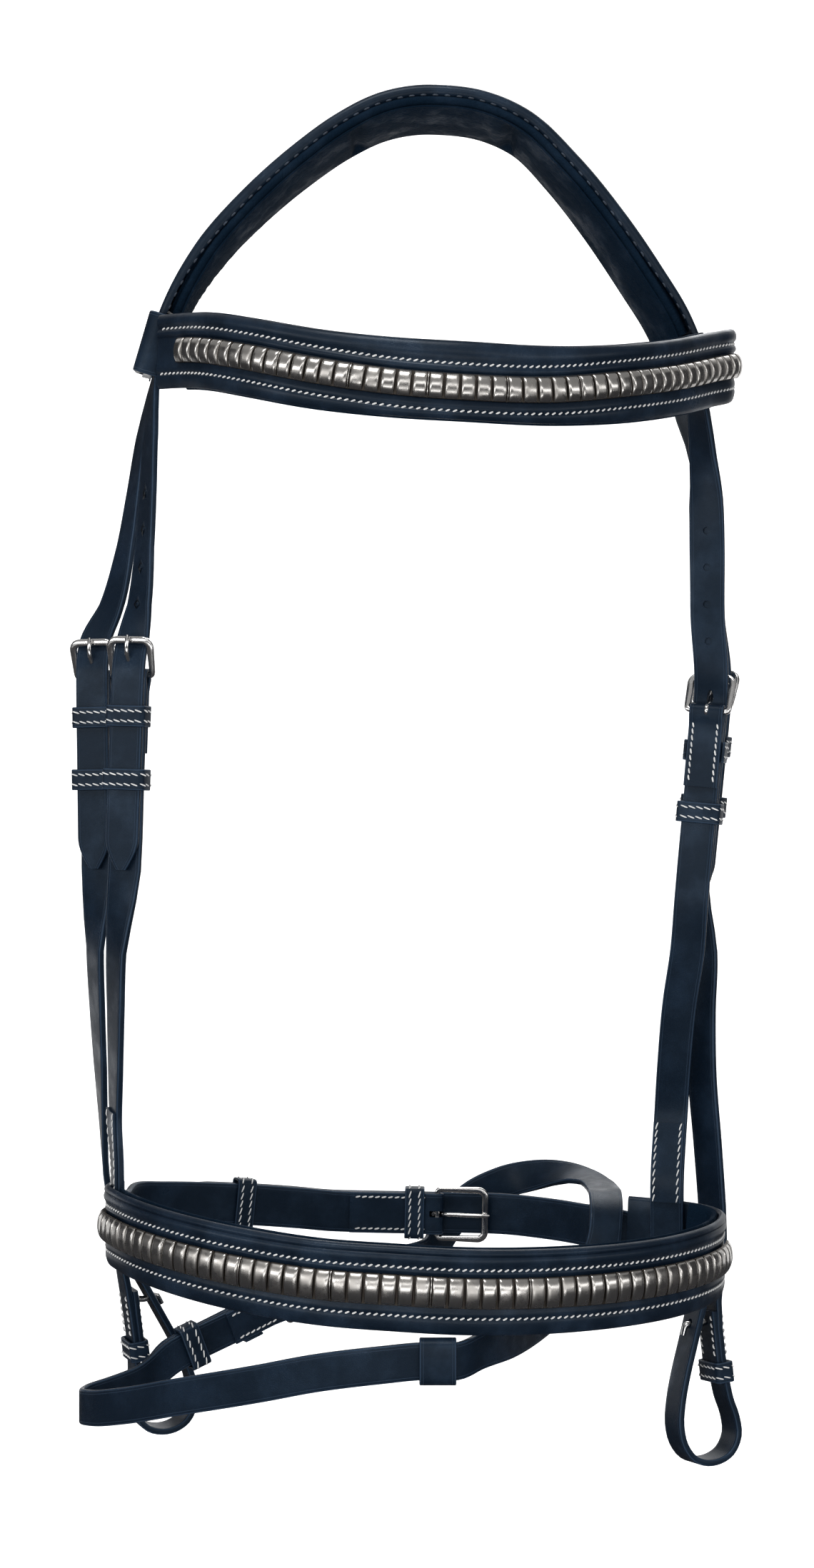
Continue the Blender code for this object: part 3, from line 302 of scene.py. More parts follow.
# Edges, folds and holes of the straps
EDGE_ROUND_share = 0.78
EDGE_REACH_share = 0.9
FACE_shares = (0.75, 0.4, 0, -0.4, -0.75)
CORNER_REACH_share = 0.45
TIP_WIDTH_share = 0.3
POINT_FLAT_share = 0.66
POINT_TIP_shares = (1, 0.6, 0.25, 0)
HOLE_FRONT_share = 0.55
HOLE_BACK_share = 0.3
HOLE_COUNT = 4
TONGUE_HOLE_share = 0.62
HANGER_TAB_shares = {LEFT: (0.734, 0.800), RIGHT: (0.7506, 0.808)}
TAB_WIDTH_share = 0.94
TAB_THICK_share = 0.45
RUNNER_ROOM = 0.0005
CROWN_TOP_shares = (-0.4, 0.4)
HANGER_FOOT_shares = (0.72, 0.3, -0.36)
CHIN_STRAIGHT_share = 1.2
CHIN_LIFT_share = 0.125
CHIN_LEFT_SEWN_shares = (0.1, 0.75)
CHIN_RIGHT_SEWN_shares = (0.8, 0.2)
CHIN_BESIDE_shares = (0.1, 0.25, 0.4, 0.55, 0.7, 0.84, 0.92, 0.97, 1)
SAFE_FOOT_shares = (0.9, 0.5)
SAFE_SEAM_share = 0.86
FLASH_END_share = 0.8

# Seams
SEAM_INSET = 0.0018
STITCH_ARCH_share = 0.9
STITCH_SUNK_share = 0.35
STITCH_ROOT = 0.02
FOLD_SLANT_share = 0.5
KEEPER_STITCH_PITCH = 0.0029
KEEPER_STITCH_share = 1.42
KEEPER_THREAD_share = 0.8
KEEPER_SLANT_share = -0.6
KEEPER_SEAM_share = 0.48
CROWN_SEAM_share = 0.90
CROWN_SEAM_IN_share = 0.2
SEAM_FACE_share = 0.30
BROW_SEAM_shares = (-0.60, 0.60)
NOSE_SEAM_shares = (-0.60, 0.52)

# Buckles, tongues and hooks
FAR_BAR_WIDER_share = 0.35
FAR_BAR_FLATTER_share = 0.12
FAR_BAR_FROM_share = 0.25
FAR_BAR_OVER_share = 0.65
FRAME_POWER = 0.62
CHIN_FRAME_RISE_share = 1.5
TONGUE_HOOK_DEGREES = range(-225, 0, 22)
TONGUE_LEAVE_share = 0.9
TONGUE_RISE_shares = ((0.42, 0.68), (0.58, 0.93), (0.78, 1.03), (1, 1))
TONGUE_DROP_share = 0.95
TONGUE_TIP_share = 0.6
HOOK_THROUGH_share = 0.8
HOOK_LEAVE_share = 0.5
HOOK_BEND_share = 1.6
HOOK_TIP_share = 0.7

# Beads
BEAD_LENGTH_share = 0.90
JOINT_LENGTH_share = 0.07
JOINT_HEIGHT_share = 1.03
JOINT_DEPTH_share = 0.93
STRIP_HEIGHT_share = 0.96
STRIP_DEPTH_share = 0.3
BEAD_BARREL_power = 2.05
BEAD_END_powers = (8, 0.42)
BEAD_PULL_share = 0.05
BEAD_PULL_power = 4
BROW_BEADS_shares = (0.045, 0.93)
NOSE_BEADS_shares = (0.02, 0.86)
BROW_JOINT_EVERY = 5
NOSE_JOINT_EVERY = 6

# Padding. A crease is its counts along a metre and across it, its seed and its share of the depth
BAND_MARGIN_share = 0.38
CROWN_UNDER_share = 0.5
PAD_SIDE_share = 0.93
PAD_SIDE_FADE_share = 0.2
BAND_UNDER_share = 0.4
CREASES = ((420, 60, 1.7, 0.9), (900, 210, 5.1, 0.5))
CREASE_LEAN = 0.4
CREASE_DRIFT = 0.012
CREASE_DRIFT_COUNT = 45
BROW_LINING_shares = (0.05, 0.86)
CROWN_SEAMS = (-0.0283, 0.0318)
PINCH_HALF = 0.0040
PINCH_share = 0.45
BAND_CREASE_share = 0.7

# Finishes. Grain and creases are counts along a metre, and reliefs are in metres
SHINE_TINT = (0.60, 0.80, 1.0, 1)
COAT_ROUGH_share = 0.28
# Wear is the share of paler rubbed patches on the leather, which are partly wear and partly painted sheen
LEATHERS = {
    "navy_strap": {"rough": 0.36, "cells": 1500.0, "creases": 160.0, "crease_depth": 0.10, "relief": 0.00005,
                   "wear": 0.22, "gloss": 0.1, "shine": 0.21, "edged": True},
    "navy_keeper": {"rough": 0.40, "cells": 1300.0, "creases": 200.0, "crease_depth": 0.12, "relief": 0.00006,
                    "wear": 0.30, "gloss": 0.1, "shine": 0.21, "edged": True},
    "navy_band": {"rough": 0.34, "cells": 1400.0, "creases": 150.0, "crease_depth": 0.16, "relief": 0.00006,
                  "wear": 0.30, "gloss": 0.2, "shine": 0.21, "edged": False},
    "navy_lining": {"rough": 0.60, "cells": 900.0, "creases": 120.0, "crease_depth": 0.9, "relief": 0.00016,
                    "wear": 0.20, "gloss": 0.0, "shine": 0.02, "edged": False},
}
ROUGH_SPREAD_share = 0.25
GRAIN_WARP_COUNT = 400.0
GRAIN_WARP = 0.0006
GRAIN_WALL_share = 0.16
GRAIN_DEPTH_share = 0.45
CREASE_RIDGE_share = 0.07
RUBBED_shares = (0.4, 0.72)
# Edge bevel: painted paler as a painted highlight, and made glossier
EDGE_SKIN = 0.00004
EDGE_OUTER_share = 0.3
EDGE_INNER_share = 0.45
EDGE_PAINTED_HIGHLIGHT_share = 0.65
EDGE_GLOSS_share = 0.10
# Pressed line: painted paler as a painted highlight, and sunk by the bump
LINE_PAINTED_HIGHLIGHT_share = 0.5
LINE_DEPTH_share = 1.6
THREAD_PLY = 1700.0
THREAD_RELIEF = 0.0001
THREAD_ROUGH = 0.62
THREAD_SHEEN = 0.25
THREAD_TONE = {"Wear": 0.7, "Size": 240.0}
METAL_TONE = {"Wear": 0.6, "Size": 130.0}
DULL_STEEL = (0.42, 0.42, 0.42, 1)
STEEL_ROUGH = 0.14
STEEL_SCRATCH = 0.000001
SCRATCH_SCALE = (300.0, 300.0, 2600.0)
DULL_NICKEL = (0.43, 0.405, 0.375, 1)
NICKEL_ROUGH = 0.21
METAL_ROUGHER_share = 1.7
# Painted shade in the grooves between beads and along their rims, and how much rougher it is there
GROOVE_SHADE = (0.06, 0.052, 0.045, 1)
GROOVE_SHADE_ROUGHER = 0.3
GROOVE_DARK_shares = (0.86, 0.99)
BEAD_RIM_shares = (0.44, 0.5)

# Sections of the crown and the bands, as shares of half the width and of the thickness
CROWN_half_shares = [
    (0, 0.55), (0.35, 0.54), (0.70, 0.52), (0.88, 0.50), (0.94, 0.43), (0.98, 0.26), (1.0, 0.02), (1.008, -0.26),
    (1.0, -0.54), (0.985, -0.78), (0.962, -0.94), (0.94, -0.99), (0.925, -0.93), (0.918, -0.72), (0.912, -0.51),
    (0.85, -0.50), (0.45, -0.50), (0, -0.50),
]
CROWN_shares = [*CROWN_half_shares, *[(-a, n) for a, n in CROWN_half_shares[-2:0:-1]]]
PAD_ROLL_half_shares = [
    (0.89, 0), (0.905, -0.02), (0.91, -0.10), (0.925, -0.16), (0.975, -0.18), (1.015, -0.23), (1.033, -0.31),
    (1.033, -0.40), (1.013, -0.49), (0.985, -0.555), (0.955, -0.595), (0.943, -0.62), (0.955, -0.645),
    (0.98, -0.665), (0.99, -0.70), (0.98, -0.74), (0.95, -0.76), (0.925, -0.765), (0.90, -0.78), (0.85, -0.82),
    (0.78, -0.86), (0.68, -0.90), (0.55, -0.94), (0.40, -0.965), (0.25, -0.985), (0.12, -1.0),
]
PAD_ROLL_shares = [*PAD_ROLL_half_shares, (0, -1.0), *[(-a, n) for a, n in PAD_ROLL_half_shares[::-1]]]
BAND_PAD_half_shares = [
    (0.88, 0), (0.95, -0.02), (1.0, -0.10), (1.01, -0.25), (0.99, -0.42), (0.94, -0.58), (0.86, -0.72),
    (0.74, -0.84), (0.60, -0.92), (0.44, -0.97), (0.26, -0.99), (0.10, -1.0),
]
BAND_PAD_shares = [*BAND_PAD_half_shares, *[(-a, n) for a, n in BAND_PAD_half_shares[::-1]]]
BROW_FACE_shares = [
    (0.93, 0.52), (0.86, 0.66), (0.78, 0.70), (0.71, 0.62), (0.66, 0.42), (0.60, 0.28), (0.56, 0.42), (0.52, 0.60),
    (0.46, 0.66), (0.40, 0.56), (0.36, 0.36), (0.20, 0.34), (-0.20, 0.34), (-0.36, 0.36), (-0.42, 0.46),
    (-0.50, 0.50), (-0.56, 0.42), (-0.60, 0.28), (-0.65, 0.42), (-0.70, 0.46), (-0.80, 0.38), (-0.90, 0.22),
    (-0.965, 0.02), (-0.99, -0.18), (-0.965, -0.40), (-0.90, -0.50), (-0.5, -0.50), (0, -0.50), (0.5, -0.50),
    (0.90, -0.50), (0.965, -0.36), (1.0, 0), (0.98, 0.30),
]
NOSE_FACE_shares = [
    (0.945, 0.50), (0.905, 0.62), (0.865, 0.60), (0.835, 0.44), (0.80, 0.60), (0.74, 0.70), (0.67, 0.66),
    (0.61, 0.50), (0.565, 0.38), (0.52, 0.28), (0.485, 0.42), (0.45, 0.50), (0.41, 0.46), (0.37, 0.34),
    (0.20, 0.34), (-0.20, 0.34), (-0.38, 0.34), (-0.46, 0.46), (-0.52, 0.50), (-0.56, 0.42), (-0.60, 0.28),
    (-0.65, 0.42), (-0.71, 0.46), (-0.80, 0.40), (-0.90, 0.24), (-0.965, 0.04), (-0.99, -0.16), (-0.965, -0.40),
    (-0.90, -0.50), (-0.5, -0.50), (0, -0.50), (0.5, -0.50), (0.90, -0.50), (0.965, -0.36), (1.0, 0), (0.985, 0.28),
]


def spot(shares):
    """The place that x, y and z shares stand for."""
    x, y, z = shares[:3]
    return Vector((x * HALF_SPAN, y * REACH, ROUTE_RISE - z * HANG))


def level(degrees):
    turn = math.radians(degrees)
    return Vector((math.cos(turn), math.sin(turn), 0))


def hung_rows(table):
    return [Row(spot(line), level(line[3])) for line in table]


def aimed_rows(table):
    return [Row(spot(line), Vector(line[3])) for line in table]


def upright_rows(table, steps=STRAP_STEPS):
    return [Row(spot(line), UP, steps) for line in table]


def slopes(places):
    """The route's direction at each of its places, weighted towards the nearer neighbour."""
    found = []
    for k, place in enumerate(places):
        before, after = places[max(k - 1, 0)], places[min(k + 1, len(places) - 1)]
        back, ahead = (place - before).length, (after - place).length
        if back == 0 or ahead == 0:
            found.append((after - before).normalized())
        else:
            found.append(((place - before) / back * ahead + (after - place) / ahead * back) / (back + ahead))
    return found


def lay(rows):
    """Stations along the smooth route through the rows, closer together than the frame's."""
    places = [Vector(row.place) for row in rows]
    aims = slopes(places)
    points, widths = [], []
    for k in range(len(rows) - 1):
        span = (places[k + 1] - places[k]).length
        count = rows[k].steps * FINER
        for step in range(count):
            t = step / count
            start, end = 2 * t**3 - 3 * t**2 + 1, 3 * t**2 - 2 * t**3
            leave, arrive = t**3 - 2 * t**2 + t, t**3 - t**2
            points.append(
                places[k] * start + places[k + 1] * end + aims[k] * span * leave + aims[k + 1] * span * arrive
            )
            widths.append(Vector(rows[k].across).lerp(Vector(rows[k + 1].across), t))
    points.append(places[-1])
    widths.append(Vector(rows[-1].across))
    return [square_up(point, run, width) for point, run, width in zip(points, slopes(points), widths)]


def square_up(place, run, across):
    run = run.normalized()
    across = (across - run * across.dot(run)).normalized()
    return Station(place, run, across, run.cross(across))


def shift(stations, out):
    return [s._replace(place=s.place + s.face * out) for s in stations]


def lengths(stations):
    total, found = 0, [0]
    for one, two in zip(stations, stations[1:]):
        total += (two.place - one.place).length
        found.append(total)
    return found


def station_at(stations, distance, marks=None):
    """The station this far along, turned and placed between its neighbours."""
    marks = marks or lengths(stations)
    k = min(max(bisect_right(marks, distance) - 1, 0), len(marks) - 2)
    t = min(max((distance - marks[k]) / (marks[k + 1] - marks[k]), 0), 1)
    one, two = stations[k], stations[k + 1]
    place, run = one.place.lerp(two.place, t), one.run.lerp(two.run, t)
    return square_up(place, run, one.across.lerp(two.across, t))


def stretch(stations, start, end):
    """The part of a route between two distances along it."""
    marks = lengths(stations)
    inner = [s for s, mark in zip(stations, marks) if start + GAP < mark < end - GAP]
    return [station_at(stations, start, marks), *inner, station_at(stations, end, marks)]


def even(stations, step):
    """The same route with stations an even step apart."""
    marks = lengths(stations)
    count = max(round(marks[-1] / step), 1)
    return [station_at(stations, marks[-1] * k / count, marks) for k in range(count + 1)]


def smooth(t):
    t = min(max(t, 0), 1)
    return t * t * (3 - 2 * t)


# Sections run round from the strap's far edge: over the outer face, then back along the inner one


def rounded_section(width, thick):
    """A strap cut square and then rubbed round at its edges."""
    half, deep = width / 2, thick / 2
    edge = min(deep * EDGE_ROUND_share, half * EDGE_REACH_share)
    found = []
    for quarter, (a, n) in enumerate(((1, 1), (-1, 1), (-1, -1), (1, -1))):
        for step in range(EDGE_STEPS + 1):
            turn = math.pi / 2 * (quarter + step / EDGE_STEPS)
            found.append((a * (half - edge) + edge * math.cos(turn), n * (deep - edge) + edge * math.sin(turn)))
        if quarter in (0, 2):
            found += [(share * a * (half - edge), n * deep) for share in FACE_shares]
    return found


def dropped_section(profile, width, thick, drop):
    """The section with its middle part lower by the drop, and its margins stretched or narrowed to suit."""
    reach = [min((1 - abs(a)) / BAND_MARGIN_share, 1) for a, n in profile]
    return [(a * width / 2 - drop * share, n * thick) for (a, n), share in zip(profile, reach)]


def skin(name, rings, marks, sides, closed=False):
    """One closed surface through rings of points. Its maps hold the length, the width and the edge's distance."""
    count, total = len(rings[0]), len(rings)
    faces, cells = [], []
    for i in range(total if closed else total - 1):
        here, there = i * count, (i + 1) % total * count
        for k in range(count):
            j = (k + 1) % count
            faces.append((here + k, here + j, there + j, there + k))
            cells.append(((i, k), (i, j), (i + 1, j), (i + 1, k)))
    if not closed:
        faces.append(tuple(range(count)))
        cells.append(tuple((0, k) for k in range(count)))
        faces.append(tuple((total - 1) * count + k for k in range(count)))
        cells.append(tuple((total - 1, k) for k in range(count)))
    mesh = bpy.data.meshes.new(name)
    mesh.from_pydata([tuple(p) for ring in rings for p in ring], [], faces)
    strip, rim = mesh.uv_layers.new(name="strip"), mesh.uv_layers.new(name="rim")
    along = list(marks) + [2 * marks[-1] - marks[-2]]
    spans = [max(abs(a) for a in ring) for ring in sides]
    flow, border = [], []
    for cell in cells:
        for i, k in cell:
            ring = i % total
            side = sides[ring][k]
            flow += (along[i], side)
            border += (spans[ring] - abs(side), min(along[i], along[-2] - along[i]))
    strip.data.foreach_set("uv", flow)
    rim.data.foreach_set("uv", border)
    return finish_mesh(mesh)


def finish_mesh(mesh):
    """Faces turned outwards and shaded smooth, but for the sharp corners."""
    bm = bmesh.new()
    bm.from_mesh(mesh)
    bmesh.ops.recalc_face_normals(bm, faces=bm.faces)
    bm.to_mesh(mesh)
    bm.free()
    mesh.polygons.foreach_set("use_smooth", [True] * len(mesh.polygons))
    mesh.set_sharp_from_angle(angle=SHARP_ANGLE)
    return mesh


def new_object(name, data):
    obj = bpy.data.objects.new(name, data)
    bpy.context.scene.collection.objects.link(obj)
    return obj


def place_mesh(name, mesh, look, body):
    obj = new_object(name, mesh)
    mesh.materials.clear()
    mesh.materials.append(material(look))
    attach(obj, body)
    return obj


def stand_for(node, mesh, look):
    """The finer piece that is shown in the place of the frame's node."""
    obj = place_mesh("fine_" + node, mesh, look, BODY_OF[node])
    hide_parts(node)
    return obj


def loft(name, stations, sections, closed=False):
    """The surface through a section at each station."""
    rings = [[s.place + s.across * a + s.face * n for a, n in section] for s, section in zip(stations, sections)]
    sides = [[a for a, n in section] for section in sections]
    return skin(name, rings, lengths(stations), sides, closed)


def dress(node, stations, sections, look, closed=False):
    return stand_for(node, loft(node, stations, sections, closed), look)


def strap(node, stations, width, thick):
    """A strap of one width and thickness, or with a list of either, one for each station."""
    count = len(stations)
    widths = width if isinstance(width, list) else [width] * count
    thicks = thick if isinstance(thick, list) else [thick] * count
    return dress(node, stations, [rounded_section(w, t) for w, t in zip(widths, thicks)], "navy_strap")


def taper(stations, top, foot, turn, hold=0):
    """Widths that stay the foot's for the hold, widen to the top's at the turn and run back again."""
    marks = lengths(stations)
    found = []
    for mark in marks:
        near = (min(mark, marks[-1] - mark) - hold) / (turn - hold)
        ease = math.sin(min(max(near, 0), 1) * math.pi / 2)
        found.append(foot + (top - foot) * ease)
    return found


def tube(name, points, up, halves, closed=False, tip=1, power=1):
    """A bar bent along the points. Halves are its half width and height at each, and up is its height's way.

    An open one narrows to the tip's share over its last rings, and a power below 1 squares its section.
    """
    count = len(points)
    rings, marks, sides, run = [], [], [], 0
    for k, point in enumerate(points):
        before = points[k - 1] if closed or k else point
        after = points[(k + 1) % count] if closed or k < count - 1 else point
        ahead = (after - before).normalized()
        tall = (up - ahead * up.dot(ahead)).normalized()
        wide = ahead.cross(tall)
        near_end = 0 if closed else max(1 - (count - 1 - k) / TIP_RINGS, 0)
        scale = 1 - (1 - tip) * near_end
        ring, side = [], []
        for step in range(TUBE_STEPS):
            turn = math.tau * step / TUBE_STEPS
            c, s = math.cos(turn), math.sin(turn)
            a = halves[k][0] * scale * math.copysign(abs(c) ** power, c)
            n = halves[k][1] * scale * math.copysign(abs(s) ** power, s)
            ring.append(point + wide * a + tall * n)
            side.append(a)
        rings.append(ring)
        sides.append(side)
        marks.append(run)
        run += (points[(k + 1) % count] - point).length
    return skin(name, rings, marks, sides, closed)


def rounded_path(points, radius):
    """The open path with each of its corners turned on an arc."""
    found = [points[0]]
    for before, point, after in zip(points, points[1:], points[2:]):
        back, ahead = before - point, after - point
        start = point + back.normalized() * min(radius, back.length * CORNER_REACH_share)
        end = point + ahead.normalized() * min(radius, ahead.length * CORNER_REACH_share)
        for step in range(CORNER_STEPS + 1):
            t = step / CORNER_STEPS
            found.append(start * (1 - t) ** 2 + point * 2 * t * (1 - t) + end * t**2)
    return [*found, points[-1]]


def punch(obj, station, half_length, half_width, depth):
    """An oval hole through the piece, cut and applied."""
    bm = bmesh.new()
    bmesh.ops.create_cone(bm, cap_ends=True, segments=HOLE_STEPS, radius1=1, radius2=1, depth=1)
    cut_away(obj, bm, station, (half_length, half_width, depth))


def cut_slot(obj, station, length, width, depth):
    bm = bmesh.new()
    bmesh.ops.create_cube(bm, size=1)
    cut_away(obj, bm, station, (length, width, depth))


def cut_away(obj, bm, station, sizes):
    """Takes the shape, stretched to the sizes at the station, out of the piece."""
    tool_mesh = bpy.data.meshes.new("punch")
    turn = Matrix((station.run * sizes[0], station.across * sizes[1], station.face * sizes[2])).transposed()
    bm.transform(Matrix.Translation(station.place) @ turn.to_4x4())
    bmesh.ops.recalc_face_normals(bm, faces=bm.faces)
    bm.to_mesh(tool_mesh)
    bm.free()
    tool = new_object("punch", tool_mesh)
    modifier = obj.modifiers.new("punch", "BOOLEAN")
    modifier.operation = "DIFFERENCE"
    modifier.solver = "EXACT"
    modifier.object = tool
    graph = bpy.context.evaluated_depsgraph_get()
    cut_mesh = bpy.data.meshes.new_from_object(obj.evaluated_get(graph))
    obj.modifiers.clear()
    cut_mesh.name = obj.data.name
    obj.data = cut_mesh
    cut_mesh.set_sharp_from_angle(angle=SHARP_ANGLE)
    bpy.data.objects.remove(tool, do_unlink=True)
    bpy.data.meshes.remove(tool_mesh)


# Seams: each stitch is a short thread that dives into the leather at both its ends


def stitch_shape():
    """Rings of points of one stitch, along x from -1 to 1, standing on z 0."""
    rings = []
    for k in range(STITCH_RINGS):
        t = -1 + 2 * k / (STITCH_RINGS - 1)
        swell = math.sqrt(max(1 - t**4, STITCH_ROOT))
        ring = []
        for step in range(STITCH_SIDES):
            turn = math.tau * step / STITCH_SIDES
            ring.append((t, math.cos(turn) * swell, math.sin(turn) * swell, 1 - t * t))
        rings.append(ring)
    return rings


def seam(stations, side, out, start, end, slant=1, away=None, pitch=None):
    """The stitches of one row: where each lies, and the ways of its length, its width and its height.

    They stand on the face that out leads to, or on the one that away names with 1 or -1.
    """
    away = away or (1 if out >= 0 else -1)
    sewing = bpy.context.scene.bridle_sewing
    marks = lengths(stations)
    count = max(round((end - start) / (pitch or sewing.pitch)), 1)
    step = (end - start) / count
    found = []
    for k in range(count):
        s = station_at(stations, start + (k + 0.5) * step, marks)
        up = s.face * away
        turn = Matrix.Rotation(math.radians(sewing.slant) * slant, 3, up)
        found.append((s.place + s.across * side + s.face * out, turn @ s.run, turn @ s.across, up))
    return found


def sew(name, stitches, body, look="thread", longer=1, finer=1):
    """All the stitches of a piece, as one object of thread."""
    sewing = bpy.context.scene.bridle_sewing
    half, radius = sewing.length / 2 * longer, sewing.thread / 2 * finer
    shape = stitch_shape()
    verts, faces = [], []
    for place, run, across, up in stitches:
        base = len(verts)
        for ring in shape:
            for x, y, z, arch in ring:
                rise = arch * radius * STITCH_ARCH_share - radius * STITCH_SUNK_share
                verts.append(place + run * (x * half) + across * (y * radius) + up * (z * radius + rise))
        for k in range(STITCH_RINGS - 1):
            for step in range(STITCH_SIDES):
                nxt = (step + 1) % STITCH_SIDES
                a, b = base + k * STITCH_SIDES, base + (k + 1) * STITCH_SIDES
                faces.append((a + step, a + nxt, b + nxt, b + step))
        faces.append(tuple(range(base, base + STITCH_SIDES)))
        last = base + (STITCH_RINGS - 1) * STITCH_SIDES
        faces.append(tuple(range(last, last + STITCH_SIDES)))
    mesh = bpy.data.meshes.new(name)
    mesh.from_pydata([tuple(v) for v in verts], [], faces)
    finish_mesh(mesh)
    return place_mesh(name, mesh, look, body)


# Looks. Shared effects are node groups that give masks, colours and heights to each material's own shader


VECTOR, NUMBER, COLOUR = "NodeSocketVector", "NodeSocketFloat", "NodeSocketColor"


class Wiring:
    """Adds nodes to one tree. An input takes a value or another node's output."""

    def __init__(self, tree):
        self.tree = tree

    def add(self, kind, settings=None, inputs=None):
        node = self.tree.nodes.new(kind)
        for key, value in (settings or {}).items():
            setattr(node, key, value)
        for key, value in (inputs or {}).items():
            self.feed(value, node.inputs[key])
        return node

    def feed(self, value, socket):
        if isinstance(value, bpy.types.NodeSocket):
            self.tree.links.new(value, socket)
        else:
            socket.default_value = value

    def math(self, operation, *values):
        return self.add("ShaderNodeMath", {"operation": operation}, dict(enumerate(values))).outputs[0]

    def fade(self, value, low, high, start=0.0, end=1.0):
        """A soft step: start below low, end above high."""
        settings = {"interpolation_type": "SMOOTHSTEP"}
        inputs = {"Value": value, "From Min": low, "From Max": high, "To Min": start, "To Max": end}
        return self.add("ShaderNodeMapRange", settings, inputs).outputs["Result"]

    def blend(self, share, one, two):
        return self.add("ShaderNodeMix", {"data_type": "RGBA"}, {0: share, 6: one, 7: two}).outputs[2]

    def noise(self, where, scale, detail, rough):
        inputs = {"Vector": where, "Scale": scale, "Detail": detail, "Roughness": rough}
        return self.add("ShaderNodeTexNoise", None, inputs).outputs["Fac"]

    def map_parts(self, layer):
        """The numbers that one of the mesh's maps holds."""
        uv = self.add("ShaderNodeUVMap", {"uv_map": layer}).outputs["UV"]
        return self.add("ShaderNodeSeparateXYZ", None, {0: uv}).outputs


def new_group(name, inputs, outputs):
    """An empty node group with these sockets, and its wiring, input sockets and output sockets."""
    tree = bpy.data.node_groups.new(name, "ShaderNodeTree")
    for label, kind, value in inputs:
        socket = tree.interface.new_socket(name=label, in_out="INPUT", socket_type=kind)
        if value is not None:
            socket.default_value = value
    for label, kind in outputs:
        tree.interface.new_socket(name=label, in_out="OUTPUT", socket_type=kind)
    w = Wiring(tree)
    return w, w.add("NodeGroupInput").outputs, w.add("NodeGroupOutput").inputs


def grain_group():
    """Leather grain: small cells with pores between them, over slow creases."""
    w, given, made = new_group(
        "leather_grain",
        [("Vector", VECTOR, None), ("Cells", NUMBER, 1400.0), ("Creases", NUMBER, 220.0),
         ("Crease Depth", NUMBER, 0.3)],
        [("Height", NUMBER), ("Pores", NUMBER)],
    )
    where = given["Vector"]
    warp = w.add("ShaderNodeTexNoise", None, {"Vector": where, "Scale": GRAIN_WARP_COUNT, "Detail": 2.0})
    bend = {0: warp.outputs["Color"], 1: (GRAIN_WARP,) * 3, 2: where}
    bent = w.add("ShaderNodeVectorMath", {"operation": "MULTIPLY_ADD"}, bend).outputs[0]
    cells = {"Vector": bent, "Scale": given["Cells"]}
    walls = w.add("ShaderNodeTexVoronoi", {"feature": "DISTANCE_TO_EDGE"}, cells).outputs["Distance"]
    pores = w.fade(walls, 0.0, GRAIN_WALL_share)
    folds = w.noise(where, given["Creases"], 4.0, 0.6)
    ridge = w.math("ABSOLUTE", w.math("SUBTRACT", folds, 0.5))
    crease = w.math("MULTIPLY", w.fade(ridge, 0.0, CREASE_RIDGE_share), given["Crease Depth"])
    w.feed(w.math("ADD", w.math("MULTIPLY", pores, GRAIN_DEPTH_share), crease), made["Height"])
    w.feed(pores, made["Pores"])
    return w.tree


def drift_group():
    """A colour that drifts slowly, and is paler where handling has rubbed it. On the leather these paler patches are
    partly wear and partly painted sheen.
    """
    w, given, made = new_group(
        "tone_drift",
        [("Vector", VECTOR, None), ("Colour", COLOUR, (0.01, 0.02, 0.03, 1)),
         ("Rubbed", COLOUR, (0.04, 0.05, 0.08, 1)), ("Wear", NUMBER, 0.3), ("Size", NUMBER, 60.0)],
        [("Color", COLOUR), ("Mask", NUMBER)],
    )
    mask = w.fade(w.noise(given["Vector"], given["Size"], 4.0, 0.6), *RUBBED_shares)
    share = w.math("MULTIPLY", mask, given["Wear"])
    w.feed(w.blend(share, given["Colour"], given["Rubbed"]), made["Color"])
    w.feed(mask, made["Mask"])
    return w.tree


def border_group():
    """From the distance to a strap's edge: a mask of its bevel, polished and painted paler as a highlight, and the
    pressed line beside it.
    """
    w, given, made = new_group(
        "strap_border",
        [("Distance", NUMBER, 0.001), ("Edge", NUMBER, 0.0007), ("Line At", NUMBER, 0.0013),
         ("Line Half", NUMBER, 0.00022)],
        [("Edge Polish And Painted Highlight", NUMBER), ("Line", NUMBER)],
    )
    distance, edge = given["Distance"], given["Edge"]
    inner = w.fade(distance, w.math("MULTIPLY", edge, EDGE_INNER_share), edge, 1.0, 0.0)
    outer = w.fade(distance, EDGE_SKIN, w.math("MULTIPLY", edge, EDGE_OUTER_share))
    w.feed(w.math("MULTIPLY", inner, outer), made["Edge Polish And Painted Highlight"])
    off = w.math("ABSOLUTE", w.math("SUBTRACT", distance, given["Line At"]))
    w.feed(w.fade(off, 0.0, given["Line Half"], 1.0, 0.0), made["Line"])
    return w.tree


def place_group(wiring, name, inputs):
    """A shared group's outputs in this material. The group is built when it is first asked for."""
    makers = {"leather_grain": grain_group, "tone_drift": drift_group, "strap_border": border_group}
    tree = bpy.data.node_groups.get(name) or makers[name]()
    return wiring.add("ShaderNodeGroup", {"node_tree": tree}, inputs).outputs


def new_material(name, **constants):
    """A material with a plain shader, its wiring, and the shader's inputs."""
    made = bpy.data.materials.new(name)
    made.use_nodes = True
    shader = made.node_tree.nodes["Principled BSDF"]
    for key, value in constants.items():
        shader.inputs[key.replace("_", " ")].default_value = value
    return made, Wiring(made.node_tree), shader.inputs


def own_place(wiring):
    return wiring.add("ShaderNodeTexCoord").outputs["Object"]


def raise_height(wiring, height, relief, normal):
    bump = wiring.add("ShaderNodeBump", None, {"Height": height, "Distance": relief, "Strength": 1.0})
    wiring.feed(bump.outputs["Normal"], normal)


